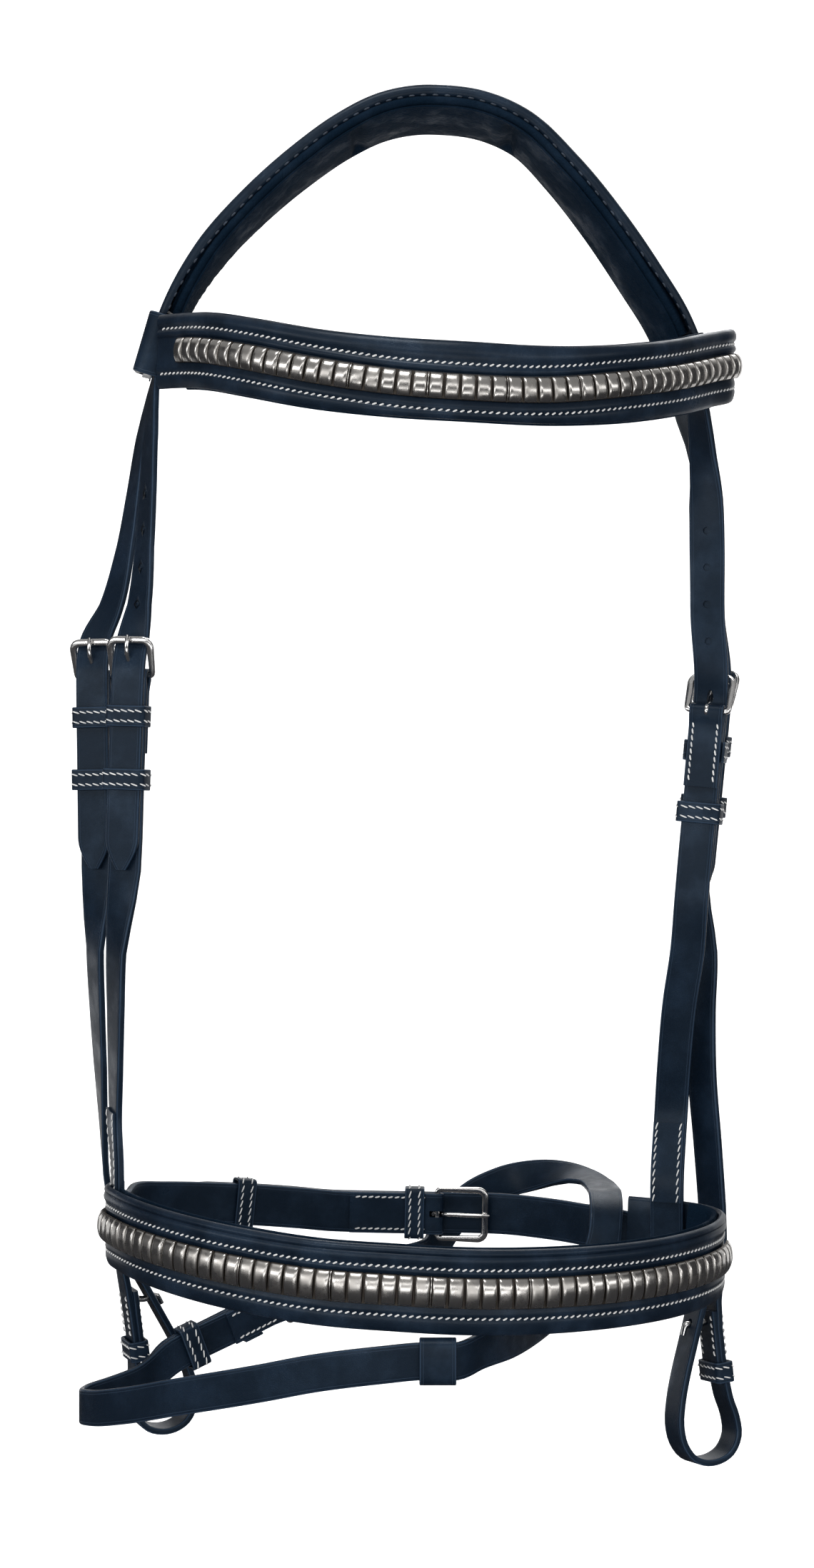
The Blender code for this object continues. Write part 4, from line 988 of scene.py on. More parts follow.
def leather(name, colour, rubbed, rough, cells, creases, crease_depth, relief, wear, gloss, shine, edged):
    """Navy leather: grain and drift, and where it is edged, a polished edge and a pressed line beside it, both
    painted paler as painted highlights.
    """
    made, w, shader = new_material(
        name, Coat_Weight=gloss, Coat_Roughness=COAT_ROUGH_share, Specular_IOR_Level=shine, Specular_Tint=SHINE_TINT)
    where = own_place(w)
    grained = {"Vector": where, "Cells": cells, "Creases": creases, "Crease Depth": crease_depth}
    height = place_group(w, "leather_grain", grained)["Height"]
    # The paler rubbed patches are partly wear and partly painted sheen
    tone = place_group(w, "tone_drift", {"Vector": where, "Colour": colour, "Rubbed": rubbed, "Wear": wear})
    tint = tone["Color"]
    dullness = w.fade(tone["Mask"], 0.0, 1.0, rough * (1 + ROUGH_SPREAD_share), rough * (1 - ROUGH_SPREAD_share))
    if edged:
        border = place_group(w, "strap_border", {"Distance": w.map_parts("rim")[0]})
        edge, line = border["Edge Polish And Painted Highlight"], border["Line"]
        # Painted highlight: the edge's bevel is painted paler in the rubbed colour; its roughness is also lowered
        # for its polish
        tint = w.blend(w.math("MULTIPLY", edge, EDGE_PAINTED_HIGHLIGHT_share), tint, rubbed)
        # Painted highlight: the pressed line is painted paler in the rubbed colour, and sunk by the bump
        tint = w.blend(w.math("MULTIPLY", line, LINE_PAINTED_HIGHLIGHT_share), tint, rubbed)
        height = w.math("SUBTRACT", height, w.math("MULTIPLY", line, LINE_DEPTH_share))
        dullness = w.math("SUBTRACT", dullness, w.math("MULTIPLY", edge, EDGE_GLOSS_share))
    w.feed(tint, shader["Base Color"])
    w.feed(dullness, shader["Roughness"])
    raise_height(w, height, relief, shader["Normal"])
    return made


def thread_look(name, colour, dirt):
    """Waxed linen thread: two plies and a little dirt."""
    made, w, shader = new_material(name, Roughness=THREAD_ROUGH, Sheen_Weight=THREAD_SHEEN)
    where = own_place(w)
    soiled = {"Vector": where, "Colour": colour, "Rubbed": dirt, **THREAD_TONE}
    w.feed(place_group(w, "tone_drift", soiled)["Color"], shader["Base Color"])
    raise_height(w, w.noise(where, THREAD_PLY, 1.0, 0.4), THREAD_RELIEF, shader["Normal"])
    return made


def metal_look(name, colour, dull, rough, beaded):
    """Polished metal, faintly rubbed: bare with fine scratches, or beaded, with painted shade darkening the grooves
    between beads and the beads' top and bottom rims.
    """
    made, w, shader = new_material(name, Metallic=1.0)
    where = own_place(w)
    rubbed = {"Vector": where, "Colour": colour, "Rubbed": dull, **METAL_TONE}
    tone = place_group(w, "tone_drift", rubbed)
    tint, dullness = tone["Color"], w.fade(tone["Mask"], 0.0, 1.0, rough, rough * METAL_ROUGHER_share)
    if beaded:
        spots = w.map_parts("bead")
        rim = w.math("ABSOLUTE", w.math("SUBTRACT", spots[1], 0.5))
        # Painted shade: each bead's ends at the grooves and its top and bottom rims are darkened, and made rougher
        dark = w.math("MAXIMUM", w.fade(spots[0], *GROOVE_DARK_shares), w.fade(rim, *BEAD_RIM_shares))
        tint = w.blend(dark, tint, GROOVE_SHADE)
        dullness = w.math("ADD", dullness, w.math("MULTIPLY", dark, GROOVE_SHADE_ROUGHER))
    else:
        stretched = w.add("ShaderNodeMapping", None, {"Vector": where, "Scale": SCRATCH_SCALE}).outputs[0]
        raise_height(w, w.noise(stretched, 1.0, 2.0, 0.5), STEEL_SCRATCH, shader["Normal"])
    w.feed(tint, shader["Base Color"])
    w.feed(dullness, shader["Roughness"])
    return made


def material(look):
    """The named finish, made when a piece first asks for it."""
    found = bpy.data.materials.get(look)
    if found:
        return found
    tints = bpy.context.scene.bridle_finishes
    # The rubbed colour serves as wear and dirt, and as painted highlight and sheen on the leather
    wear_and_sheen = (*tints.wear_and_sheen_colour, 1)
    if look in LEATHERS:
        colour = tints.lining_colour if look == "navy_lining" else tints.strap_colour
        return leather(look, (*colour, 1), wear_and_sheen, **LEATHERS[look])
    if look == "thread":
        return thread_look(look, (*tints.thread_colour, 1), (*tints.thread_dirt, 1))
    if look == "dark_thread":
        return thread_look(look, (*tints.seam_colour, 1), wear_and_sheen)
    if look == "polished_steel":
        return metal_look(look, (*tints.steel_colour, 1), DULL_STEEL, STEEL_ROUGH, beaded=False)
    return metal_look(look, (*tints.nickel_colour, 1), DULL_NICKEL, NICKEL_ROUGH, beaded=True)


# Pieces. A buckle seat's along runs down the strap from the heel bar, and its out leaves the horse


def make_seat(table):
    place, run, across = table
    return square_up(spot(place), Vector(run), Vector(across))


def on_seat(seat, along, out=0, side=0):
    return seat.place + seat.run * along + seat.face * out + seat.across * side


def seat_rows(seat, path):
    """Rows at places along and out from a seat."""
    return [Row(on_seat(seat, along, out), seat.across, 1) for along, out in path]


def moved(seat, along, out=0):
    return seat._replace(place=on_seat(seat, along, out))


def flipped(seat):
    return seat._replace(across=-seat.across, face=-seat.face)


def buckle_rows(seat, turn_back, straight):
    """From the stitched end, round the heel bar and down the main layer: rows and their thicknesses."""
    middle = BAR_CLEAR + SKIVED_THICK / 2
    meet = middle * 3
    turns = [math.pi * k / HEEL_BEND_STEPS for k in range(HEEL_BEND_STEPS + 1)]
    folded = [(along, TURN_BACK_OUT) for along in (turn_back, meet * 2, meet)]
    folded += [(-middle * math.sin(turn), -middle * math.cos(turn)) for turn in turns]
    main = [(along, MAIN_OUT) for along in (meet, meet * 2, straight / 2, straight)]
    return seat_rows(seat, folded + main), [SKIVED_THICK] * len(folded) + [STRAP_THICK] * len(main)


def thick_list(rows, thicks):
    """A thickness for each station. The rows past the listed ones are as thick as the last of those."""
    thicks = thicks + [thicks[-1]] * (len(rows) - len(thicks))
    found = []
    for row, here, there in zip(rows, thicks, thicks[1:]):
        count = row.steps * FINER
        found += [here + (there - here) * step / count for step in range(count)]
    return [*found, thicks[-1]]


def tongue_slot(obj, seat):
    width = 2 * (TONGUE_RADIUS + SLOT_SIDE_GAP)
    length = WRAP_RADIUS * 3
    at = moved(seat, length / 2 - WRAP_RADIUS - OVERRUN)
    cut_slot(obj, at, length, width, 4 * (WRAP_RADIUS + OVERRUN))


def rounded_loop(low, high, half, low_corner, high_corner):
    """Corners of a rounded rectangle from low to high one way and half to each side of the other."""
    found = []
    corners = ((high, half, high_corner, 0), (low, half, low_corner, 90))
    corners += ((low, -half, low_corner, 180), (high, -half, high_corner, 270))
    for a, b, radius, start in corners:
        a_mid = a - math.copysign(radius, a - (low + high) / 2)
        b_mid = b - math.copysign(radius, b)
        for step in range(CORNER_STEPS + 1):
            turn = math.radians(start + 90 * step / CORNER_STEPS)
            found.append((a_mid + radius * math.cos(turn), b_mid + radius * math.sin(turn)))
    return found


def buckle_frame(node, seat, length, strap_width, rise):
    """A flat cast frame: a round heel bar, and a broad far bar raised out over the strap."""
    half = strap_width / 2 + BUCKLE_SIDE_GAP + WIRE_RADIUS
    outline = rounded_loop(0, length, half, HEEL_CORNER, FAR_CORNER)
    points, halves = [], []
    for along, side in outline:
        points.append(on_seat(seat, -along, along * rise / length, side))
        far = smooth((along / length - FAR_BAR_FROM_share) / FAR_BAR_OVER_share)
        wide, tall = 1 + FAR_BAR_WIDER_share * far, 1 - FAR_BAR_FLATTER_share * far
        halves.append((WIRE_RADIUS * wide, WIRE_RADIUS * tall))
    points, halves = fill_path(points, halves, FRAME_STEP)
    stand_for(node, tube(node, points, seat.face, halves, closed=True, power=FRAME_POWER), "polished_steel")


def fill_path(points, halves, step):
    """The closed path with points added along its straight sides."""
    found, sizes = [], []
    for k, point in enumerate(points):
        ahead, next_size = points[(k + 1) % len(points)], halves[(k + 1) % len(points)]
        count = max(round((ahead - point).length / step), 1)
        for n in range(count):
            t = n / count
            found.append(point.lerp(ahead, t))
            sizes.append(tuple(a + (b - a) * t for a, b in zip(halves[k], next_size)))
    return found, sizes


def tongue(node, seat, length, rise):
    """A wire hooked round the heel bar, up through the strap and down on the far bar."""
    hook = WIRE_RADIUS + GAP + TONGUE_RADIUS
    rest = rise + WIRE_RADIUS + GAP + TONGUE_RADIUS
    turns = [math.radians(degrees) for degrees in TONGUE_HOOK_DEGREES]
    path = [(-hook * math.cos(turn), hook * math.sin(turn)) for turn in turns]
    path.append((-hook - TONGUE_RADIUS, hook * TONGUE_LEAVE_share))
    path += [(-length * a, rest * n) for a, n in TONGUE_RISE_shares]
    path.append((-length - TONGUE_TIP, rest * TONGUE_DROP_share))
    points = [s.place for s in lay(seat_rows(seat, path))]
    mesh = tube(node, points, seat.face, [(TONGUE_RADIUS, TONGUE_RADIUS)] * len(points), tip=TONGUE_TIP_share)
    stand_for(node, mesh, "polished_steel")


def round_stations(middle, low, high, half, corner, open_at=None):
    """Stations round a strap's stack: low to high out and half to each side."""
    outline = rounded_loop(low, high, half, corner, corner)
    if open_at is not None:
        keep = CORNER_STEPS + 1
        outline = outline[-keep:] + outline[:keep]
        outline = [(open_at, outline[0][1])] + outline + [(open_at, outline[-1][1])]
    places = [on_seat(middle, 0, out, side) for out, side in outline]
    count, stations = len(places), []
    for k, place in enumerate(places):
        if open_at is None:
            ahead, behind = places[(k + 1) % count], places[k - 1]
        else:
            ahead, behind = places[min(k + 1, count - 1)], places[max(k - 1, 0)]
        run = (ahead - behind).normalized()
        stations.append(Station(place, run, middle.run, run.cross(middle.run)))
    return stations


def side_seams(stations, side, outs, slant=1, pitch=None):
    """A row of stitches as far to each side as this, on each face that the outs lead to."""
    length, found = lengths(stations)[-1], []
    for at in (-side, side):
        for out in outs:
            found += seam(stations, at, out, 0, length, slant=slant, pitch=pitch)
    return found


def sew_edges(name, stations, side, out, body):
    """The short slanted stitches of a keeper or a tab."""
    stitches = side_seams(stations, side, [out], KEEPER_SLANT_share, KEEPER_STITCH_PITCH)
    sew(name + "_stitches", stitches, body, longer=KEEPER_STITCH_share, finer=KEEPER_THREAD_share)


def band_round(node, middle, low, high, half, width, thick, corner, open_at=None, sewn=True):
    """A leather band round a strap, with its rows of stitches."""
    reach = thick / 2
    stations = round_stations(middle, low - reach, high + reach, half + reach, corner + reach, open_at)
    closed = open_at is None
    dress(node, stations, [rounded_section(width, thick)] * len(stations), "navy_keeper", closed)
    if sewn:
        route = stations + stations[:1] if closed else stations
        away = 1 if (stations[1].place - middle.place).dot(stations[1].face) > 0 else -1
        sew_edges(node, route, KEEPER_SEAM_share * width / 2, away * thick / 2, BODY_OF[node])


def fixed_keeper(node, middle):
    """Sewn into the seam: it springs from the main layer's edges and spans the point strap."""
    low, half = MAIN_OUT - STRAP_THICK / 2, STRAP_WIDTH / 2 + KEEPER_CLEAR
    band_round(node, middle, low, KEEPER_HIGH, half, KEEPER_WIDTH, KEEPER_THICK, KEEPER_CORNER, open_at=low)


def runner(node, middle, width, low=MAIN_OUT - STRAP_THICK / 2 - KEEPER_CLEAR - RUNNER_ROOM):
    """A closed loop that slides on both layers, or stays where a third one fills it."""
    half = width / 2 + KEEPER_CLEAR + RUNNER_ROOM
    band_round(node, middle, low, KEEPER_HIGH, half, KEEPER_WIDTH, KEEPER_THICK, KEEPER_CORNER)


def tip_widths(stations, width):
    """The English point: the last of the strap narrows to a rounded tip."""
    marks = lengths(stations)
    total, reach = marks[-1], width * TIP_LENGTH_share
    found = []
    for mark in marks:
        share = min((total - mark) / reach, 1)
        found.append(width * (TIP_WIDTH_share + (1 - TIP_WIDTH_share) * math.sin(share * math.pi / 2)))
    return found


def point_rows(seat, reach):
    """The point strap past a buckle: under the far bar, over the heel bar and on to its tip."""
    tip = STRAP_WIDTH * TIP_LENGTH_share
    path = [(-BUCKLE_LENGTH, UNDER_OUT), (-BUCKLE_LENGTH / 3, POINT_OUT - (POINT_OUT - UNDER_OUT) / 8)]
    path += [(along, POINT_OUT) for along in (WRAP_RADIUS, reach / 3, reach * POINT_FLAT_share)]
    path += [(reach - tip * share, POINT_OUT) for share in POINT_TIP_shares]
    return seat_rows(seat, path)


def punch_holes(obj, stations, first):
    """Round holes up the point strap, counted back from the first. A skin in each keeps the light out."""
    for k in range(HOLE_COUNT):
        here = station_at(stations, first - k * HOLE_PITCH)
        for side, share in ((1, HOLE_FRONT_share), (-1, HOLE_BACK_share)):
            pit = here._replace(place=here.place + here.face * side * POINT_THICK / 2)
            punch(obj, pit, HOLE_RADIUS, HOLE_RADIUS, POINT_THICK * share * 2)


def tongue_hole(obj, seat):
    low, high = -BUCKLE_LENGTH * TONGUE_HOLE_share, -TONGUE_RADIUS
    at = moved(seat, (low + high) / 2, POINT_OUT - STRAP_THICK / 2)
    punch(obj, at, (high - low) / 2, TONGUE_RADIUS + SLOT_SIDE_GAP, POINT_THICK * 4)


def turn_back_seams(name, seat, turn_back, width, body):
    """Both rows that hold a folded end, on the outer face and on the horse's side."""
    route = [moved(seat, WRAP_RADIUS + SEAM_INSET), moved(seat, turn_back - SEAM_INSET)]
    outs = (MAIN_OUT + STRAP_THICK / 2, TURN_BACK_OUT - SKIVED_THICK / 2)
    sew(name, side_seams(route, width / 2 - SEAM_INSET, outs, FOLD_SLANT_share), body)


def crown_rows():
    """Left foot over the top to the right foot, with a straight stretch at the top."""
    lift = CROWN_PAD_THICK + GAP / 2
    half = CROWN_FLAT / 2
    fore = Vector((0, 1, 0))
    left, right = [
        [row._replace(place=row.place + UP * (lift - ROUTE_RISE)) for row in hung_rows(table)]
        for table in (CROWN_LEFT_shares, CROWN_RIGHT_shares)
    ]
    top = [Row(Vector((half * share, 0, lift)), fore) for share in CROWN_TOP_shares]
    return left + top + right


def make_crown():
    """The crown strap and its seams along both edges."""
    stations = lay(crown_rows())
    outer = even(shift(stations, GAP / 2 + CROWN_THICK / 2), CROWN_STEP)
    total = lengths(outer)[-1]
    widths = taper(outer, CROWN_WIDTH, CROWN_FOOT_WIDTH, total / 2, POINT_SEWN)
    rolls = [smooth((width - CROWN_FOOT_WIDTH) / (CROWN_WIDTH - CROWN_FOOT_WIDTH) * 2) for width in widths]
    sections = [crown_section(width, roll) for width, roll in zip(widths, rolls)]
    dress("crown_strap", outer, sections, "navy_band")
    stitches = []
    for s, width, roll in list(zip(outer, widths, rolls))[::2]:
        low = CROWN_UNDER_share + (CROWN_SEAM_share - CROWN_UNDER_share) * roll
        for hand in (-1, 1):
            out = s.across * hand
            place = s.place + out * (width / 2 - SEAM_INSET * CROWN_SEAM_IN_share) - s.face * CROWN_THICK * low
            stitches.append((place, s.run, s.face, out))
    sew("crown_stitches", stitches, BODY_OF["crown_strap"], "dark_thread")
    return stations


def crown_section(width, roll):
    """The strap's section, whose edges roll down over the pad's by this share of their whole roll."""
    found = []
    for a, n in CROWN_shares:
        hang = min(n + CROWN_UNDER_share, 0)
        found.append((a * width / 2, (n - hang + hang * roll) * CROWN_THICK))
    return found


def make_crown_lining(stations):
    """The soft pad under the crown: a roll along each edge, a cord, and an underside creased by bending."""
    total = lengths(stations)[-1]
    inner = even(stretch(stations, POINT_SEWN + GAP * 2, total - POINT_SEWN - GAP * 2), PAD_STEP)
    widths = taper(inner, CROWN_PAD_WIDTH, CROWN_PAD_FOOT_WIDTH, lengths(inner)[-1] / 2)
    depth = bpy.context.scene.bridle_padding.crease_depth
    sections = []
    for s, width in zip(inner, widths):
        pinch = min(smooth(abs(s.place.x - at) / PINCH_HALF) for at in CROWN_SEAMS)
        section = []
        for a, n in PAD_ROLL_shares:
            inside, below = PAD_SIDE_share - abs(a), -n - CROWN_UNDER_share
            under = smooth(inside / PAD_SIDE_FADE_share) * smooth(below / PAD_SIDE_FADE_share)
            place = s.place + s.across * (a * width / 2)
            fold = crease(place) * depth * under
            section.append((a * width / 2, (n * (1 - (1 - pinch) * PINCH_share * under)) * CROWN_PAD_THICK + fold))
        sections.append(section)
    dress("crown_lining", shift(inner, -GAP / 2), sections, "navy_lining")


def crease(place):
    """Wrinkles that run mostly across the strap, from 0 at the leather's level to 1 at their deepest."""
    along = place.x + place.z * CREASE_LEAN + noise.noise(place * CREASE_DRIFT_COUNT) * CREASE_DRIFT
    return sum(abs(noise.noise(Vector((along * a, place.y * b, seed)))) * share for a, b, seed, share in CREASES)


def foot_rows(stations, side, hand):
    """Where a point strap lies sewn inside the crown's foot: its first rows, top first."""
    total = lengths(stations)[-1]
    found = []
    for k, from_end in enumerate((POINT_SEWN, (POINT_SEWN + POINT_SEWN_END) / 2, POINT_SEWN_END)):
        s = station_at(stations, from_end if hand == LEFT else total - from_end)
        place = s.place - s.face * (GAP * (k + 1) / 2 + POINT_THICK / 2) + s.across * side
        across = s.across if hand == RIGHT else -s.across
        found.append(Row(place, across, 1))
    return found


def make_point(label, hand, crown, side):
    """A point strap from the crown's foot, through its buckle to its tip."""
    seat = make_seat(SEAT_shares[label])
    rows = foot_rows(crown, side, hand) + hung_rows(POINT_shares[label]) + point_rows(seat, POINT_LENGTH)
    stations = lay(rows)
    obj = strap(label + "_point", stations, tip_widths(stations, STRAP_WIDTH), POINT_THICK)
    tongue_hole(obj, seat)
    punch_holes(obj, stations, lengths(stations)[-1] - POINT_LENGTH - FIRST_HOLE)


def make_buckle(label, seat):
    buckle_frame(label + "_buckle", seat, BUCKLE_LENGTH, STRAP_WIDTH, BAR_OUT)
    tongue(label + "_tongue", seat, BUCKLE_LENGTH, BAR_OUT)
    fixed_keeper(label + "_keeper", moved(seat, KEEPER_AT))
    runner(label + "_runner", moved(seat, RUNNER_AT), STRAP_WIDTH)


def billet_rows(seat):
    """Straight down to the bit loop, round it and back up the horse's side on to the hook."""
    loop = [(along * BIT_LOOP_LENGTH, out * BIT_LOOP_WIDTH) for along, out in BIT_LOOP_shares]
    return seat_rows(seat, [(-BILLET_STRAIGHT, 0), *loop])


def buckled_strap(node, label, seat, rows, thicks, width, turn_back):
    """A strap whose first rows are folded round a heel bar, slotted for the tongue and sewn down."""
    stations = lay(rows)
    obj = strap(node, stations, width, thick_list(rows, thicks))
    tongue_slot(obj, seat)
    turn_back_seams(label + "_seams", seat, turn_back, width, BODY_OF[node])
    return obj, stations


def make_hung_strap(node, label, end_rows):
    """A strap from its buckle down to the rows that it ends in."""
    seat = make_seat(SEAT_shares[label])
    rows, thicks = buckle_rows(seat, TURN_BACK, POINT_LENGTH)
    rows += hung_rows(LOWER_shares[label]) + end_rows
    return buckled_strap(node, label, seat, rows, thicks, STRAP_WIDTH, TURN_BACK)


def make_cheekpiece(hand):
    billet = make_seat(BILLET_shares[hand])
    obj, stations = make_hung_strap(hand + "_cheekpiece", hand + "_cheek", billet_rows(billet))
    make_billet_trim(hand, billet, stations, obj)


def make_billet_trim(hand, billet, stations, cheekpiece):
    """The safe, its keeper round both layers, and the hook that the billet's end is slipped on."""
    safe_out = -(STRAP_THICK / 2 + GAP + SAFE_THICK / 2)
    ends = [moved(billet, -BILLET_STRAIGHT * share, safe_out) for share in SAFE_FOOT_shares]
    strap(hand + "_billet_safe", even([*ends, moved(billet, -GAP, safe_out)], PAD_STEP), STRAP_WIDTH, SAFE_THICK)
    middle = moved(billet, -BILLET_KEEPER_AT)
    high = STRAP_THICK / 2 + KEEPER_CLEAR
    low = safe_out - SAFE_THICK / 2 - KEEPER_CLEAR
    half = STRAP_WIDTH / 2 + KEEPER_CLEAR
    band_round(hand + "_billet_keeper", middle, low, high, half, KEEPER_WIDTH, KEEPER_THICK, KEEPER_CORNER)
    hole = station_at(stations, lengths(stations)[-1] - BILLET_STRAIGHT + HOOK_AT)
    reach = HOOK_RADIUS + FREE_GAP
    punch(cheekpiece, hole, reach, reach, STRAP_THICK * 2)
    make_hook(hand + "_hook_stud", billet, hole)
    foot = -BILLET_KEEPER_AT - KEEPER_WIDTH / 2 - SEAM_INSET
    route = [moved(billet, -BILLET_STRAIGHT * SAFE_SEAM_share), moved(billet, foot)]
    stitches = side_seams(route, STRAP_WIDTH / 2 - SEAM_INSET, (STRAP_THICK / 2, safe_out - SAFE_THICK / 2))
    sew(hand + "_billet_stitches", stitches, BODY_OF[hand + "_cheekpiece"])


def make_hook(node, billet, hole):
    """A bent wire: out of the safe, through the billet's hole and down its far side."""
    along = (hole.place - billet.place).dot(billet.run)
    root = -(STRAP_THICK / 2 + GAP * 2 + SAFE_THICK)
    clear = STRAP_THICK / 2 + GAP + HOOK_RADIUS
    away = hole.face * (clear if hole.face.dot(billet.face) < 0 else -clear)
    down = hole.run if hole.run.dot(billet.run) > 0 else -hole.run
    bend = hole.place + away
    points = [on_seat(billet, along, root), hole.place - away * HOOK_THROUGH_share]
    points += [bend + down * HOOK_RADIUS * HOOK_LEAVE_share, bend + down * HOOK_DROP]
    points = rounded_path(points, HOOK_RADIUS * HOOK_BEND_share)
    mesh = tube(node, points, billet.across, [(HOOK_RADIUS, HOOK_RADIUS)] * len(points), tip=HOOK_TIP_share)
    stand_for(node, mesh, "polished_steel")


def make_hanger(hand, join_rows):
    stations = make_hung_strap(hand + "_hanger", hand + "_noseband", join_rows)[1]
    hanger_tab(hand, stations)


def distance_at(stations, height):
    """How far along a hanging route it first passes below this height."""
    marks = lengths(stations)
    for k, (one, two) in enumerate(zip(stations, stations[1:])):
        if one.place.z > height >= two.place.z:
            return marks[k] + (marks[k + 1] - marks[k]) * (one.place.z - height) / (one.place.z - two.place.z)
    return marks[-1]


def hanger_tab(hand, stations):
    """The hanger's end, turned up out of the noseband and sewn along both its edges."""
    node, thick = hand + "_hanger", STRAP_THICK * TAB_THICK_share
    top, foot = [distance_at(stations, spot((0, 0, share)).z) for share in HANGER_TAB_shares[hand]]
    route = even(stretch(stations, top, foot), BAND_STEP)
    away = -1 if route[0].face.y > 0 else 1
    tab = shift(route, away * (STRAP_THICK + thick) / 2)
    mesh = loft(node + "_tab", tab, [rounded_section(STRAP_WIDTH * TAB_WIDTH_share, thick)] * len(tab))
    piece = place_mesh(node + "_tab", mesh, "navy_strap", BODY_OF[node])
    side, out = STRAP_WIDTH / 2 - SEAM_INSET, away * (STRAP_THICK / 2 + thick)
    sew_edges(node + "_tab", route, side, out, BODY_OF[node])


def make_band(name, stations, crest, width, face_shares, lining_span, seam_shares, beads):
    """A padded strap with its lining on one route, and on the beads' route its two seams and the beads."""
    front = even(stations, BAND_STEP)
    total, beads_total = lengths(stations)[-1], lengths(crest)[-1]
    sections = []
    for s, mark in zip(front, lengths(front)):
        bead = station_at(crest, min(mark / total, 1) * beads_total)
        sections.append(dropped_section(face_shares, width, BAND_THICK, (s.place - bead.place).dot(s.across)))
    dress(name + "_strap", shift(front, BAND_OUT), sections, "navy_band")
    inner = even(stretch(stations, *lining_span), PAD_STEP)
    lined = [pad_section(s, width) for s in inner]
    dress(name + "_lining", shift(inner, LINING_OUT), lined, "navy_lining")
    stitches, out = [], BAND_OUT + BAND_THICK * SEAM_FACE_share
    for share in seam_shares:
        stitches += seam(crest, share * width / 2, out, SEAM_INSET, beads_total - SEAM_INSET, away=1)
    sew(name + "_stitches", stitches, BODY_OF[name + "_strap"])
    make_clincher(name + "_clincher", crest, *beads)


def pad_section(station, width):
    """The band's lining, whose soft side is creased by bending."""
    fold = bpy.context.scene.bridle_padding.crease_depth * BAND_CREASE_share
    section = []
    for a, n in BAND_PAD_shares:
        wrinkle = fold * crease(station.place + station.across * (a * width / 2))
        under = smooth((-n - BAND_UNDER_share) / BAND_UNDER_share)
        section.append((a * (width / 2 + BAND_PAD_LIP), n * BAND_PAD_THICK + under * wrinkle))
    return section


def make_clincher(node, stations, height, pitch, start, end, joint_every):
    """Half-barrel beads pressed side by side on one strip, with a raised joint every few of them."""
    count = round((end - start) / pitch)
    step = (end - start) / count
    marks = lengths(stations)
    verts, faces, spots = [], [], []
    for k in range(count):
        middle = station_at(stations, start + (k + 0.5) * step, marks)
        add_pillow(verts, faces, spots, middle, step * BEAD_LENGTH_share, height, BEAD_DEPTH)
        if k and k % joint_every == 0:
            joint = station_at(stations, start + k * step, marks)
            tall, deep = height * JOINT_HEIGHT_share, BEAD_DEPTH * JOINT_DEPTH_share
            add_pillow(verts, faces, spots, joint, step * JOINT_LENGTH_share, tall, deep)
    strip = even(stretch(stations, start, end), BAND_STEP)
    for one, two in zip(strip, strip[1:]):
        add_slab(verts, faces, spots, one, two, height * STRIP_HEIGHT_share)
    mesh = bpy.data.meshes.new(node)
    mesh.from_pydata([tuple(v) for v in verts], [], faces)
    layer = mesh.uv_layers.new(name="bead")
    layer.data.foreach_set("uv", [value for face in faces for k in face for value in spots[k]])
    stand_for(node, finish_mesh(mesh), "bead_nickel")


def add_pillow(verts, faces, spots, s, length, height, depth):
    """One bead: a barrel across the strip, its ends turned down. Its spots tell how near a vertex is to them."""
    first, row = len(verts), BEAD_OVER + 1
    power, root = BEAD_END_powers
    for i in range(BEAD_ALONG + 1):
        u = math.sin(math.pi / 2 * (-1 + 2 * i / BEAD_ALONG))
        for j in range(row):
            v = math.sin(math.pi / 2 * (-1 + 2 * j / BEAD_OVER))
            rise = (1 - abs(v) ** BEAD_BARREL_power) ** 0.5 * (1 - abs(u) ** power) ** root
            pull = 1 - BEAD_PULL_share * abs(v) ** BEAD_PULL_power
            place = s.place + s.run * (u * length / 2 * pull) + s.across * (v * height / 2)
            verts.append(place + s.face * (-BEAD_DEPTH + depth * rise))
            spots.append((abs(u), (v + 1) / 2))
    for i in range(BEAD_ALONG):
        for j in range(BEAD_OVER):
            a = first + i * row + j
            faces.append((a, a + 1, a + row + 1, a + row))
    rim = [first + j for j in range(row)]
    rim += [first + i * row + BEAD_OVER for i in range(1, BEAD_ALONG + 1)]
    rim += [first + BEAD_ALONG * row + j for j in range(BEAD_OVER - 1, -1, -1)]
    rim += [first + i * row for i in range(BEAD_ALONG - 1, 0, -1)]
    faces.append(tuple(rim))


def add_slab(verts, faces, spots, one, two, height):
    """A short piece of the strip that the beads are pressed from."""
    first, low = len(verts), -BEAD_DEPTH
    high = low + BEAD_DEPTH * STRIP_DEPTH_share
    for s in (one, two):
        for side, out in ((1, low), (1, high), (-1, high), (-1, low)):
            verts.append(s.place + s.across * (side * height / 2) + s.face * out)
            spots.append((1, 0.5))
    for k in range(4):
        j = (k + 1) % 4
        faces.append((first + k, first + j, first + 4 + j, first + 4 + k))
    faces.append((first, first + 1, first + 2, first + 3))
    faces.append((first + 4, first + 5, first + 6, first + 7))


def brow_loop(hand, crown):
    """The band end's loop, which the crown's foot passes through."""
    total = lengths(crown)[-1]
    middle = station_at(crown, BROW_LOOP_AT if hand == LEFT else total - BROW_LOOP_AT)
    low = -(GAP + POINT_THICK + BROW_LOOP_CLEAR + FREE_GAP * 2)
    high = GAP / 2 + CROWN_THICK + FREE_GAP * 2
    half = CROWN_FOOT_WIDTH / 2 + BROW_LOOP_CLEAR
    node = hand + "_browband_loop"
    band_round(node, middle, low, high, half, BROW_LOOP_HEIGHT, BROW_LOOP_THICK, BROW_LOOP_CORNER, sewn=False)


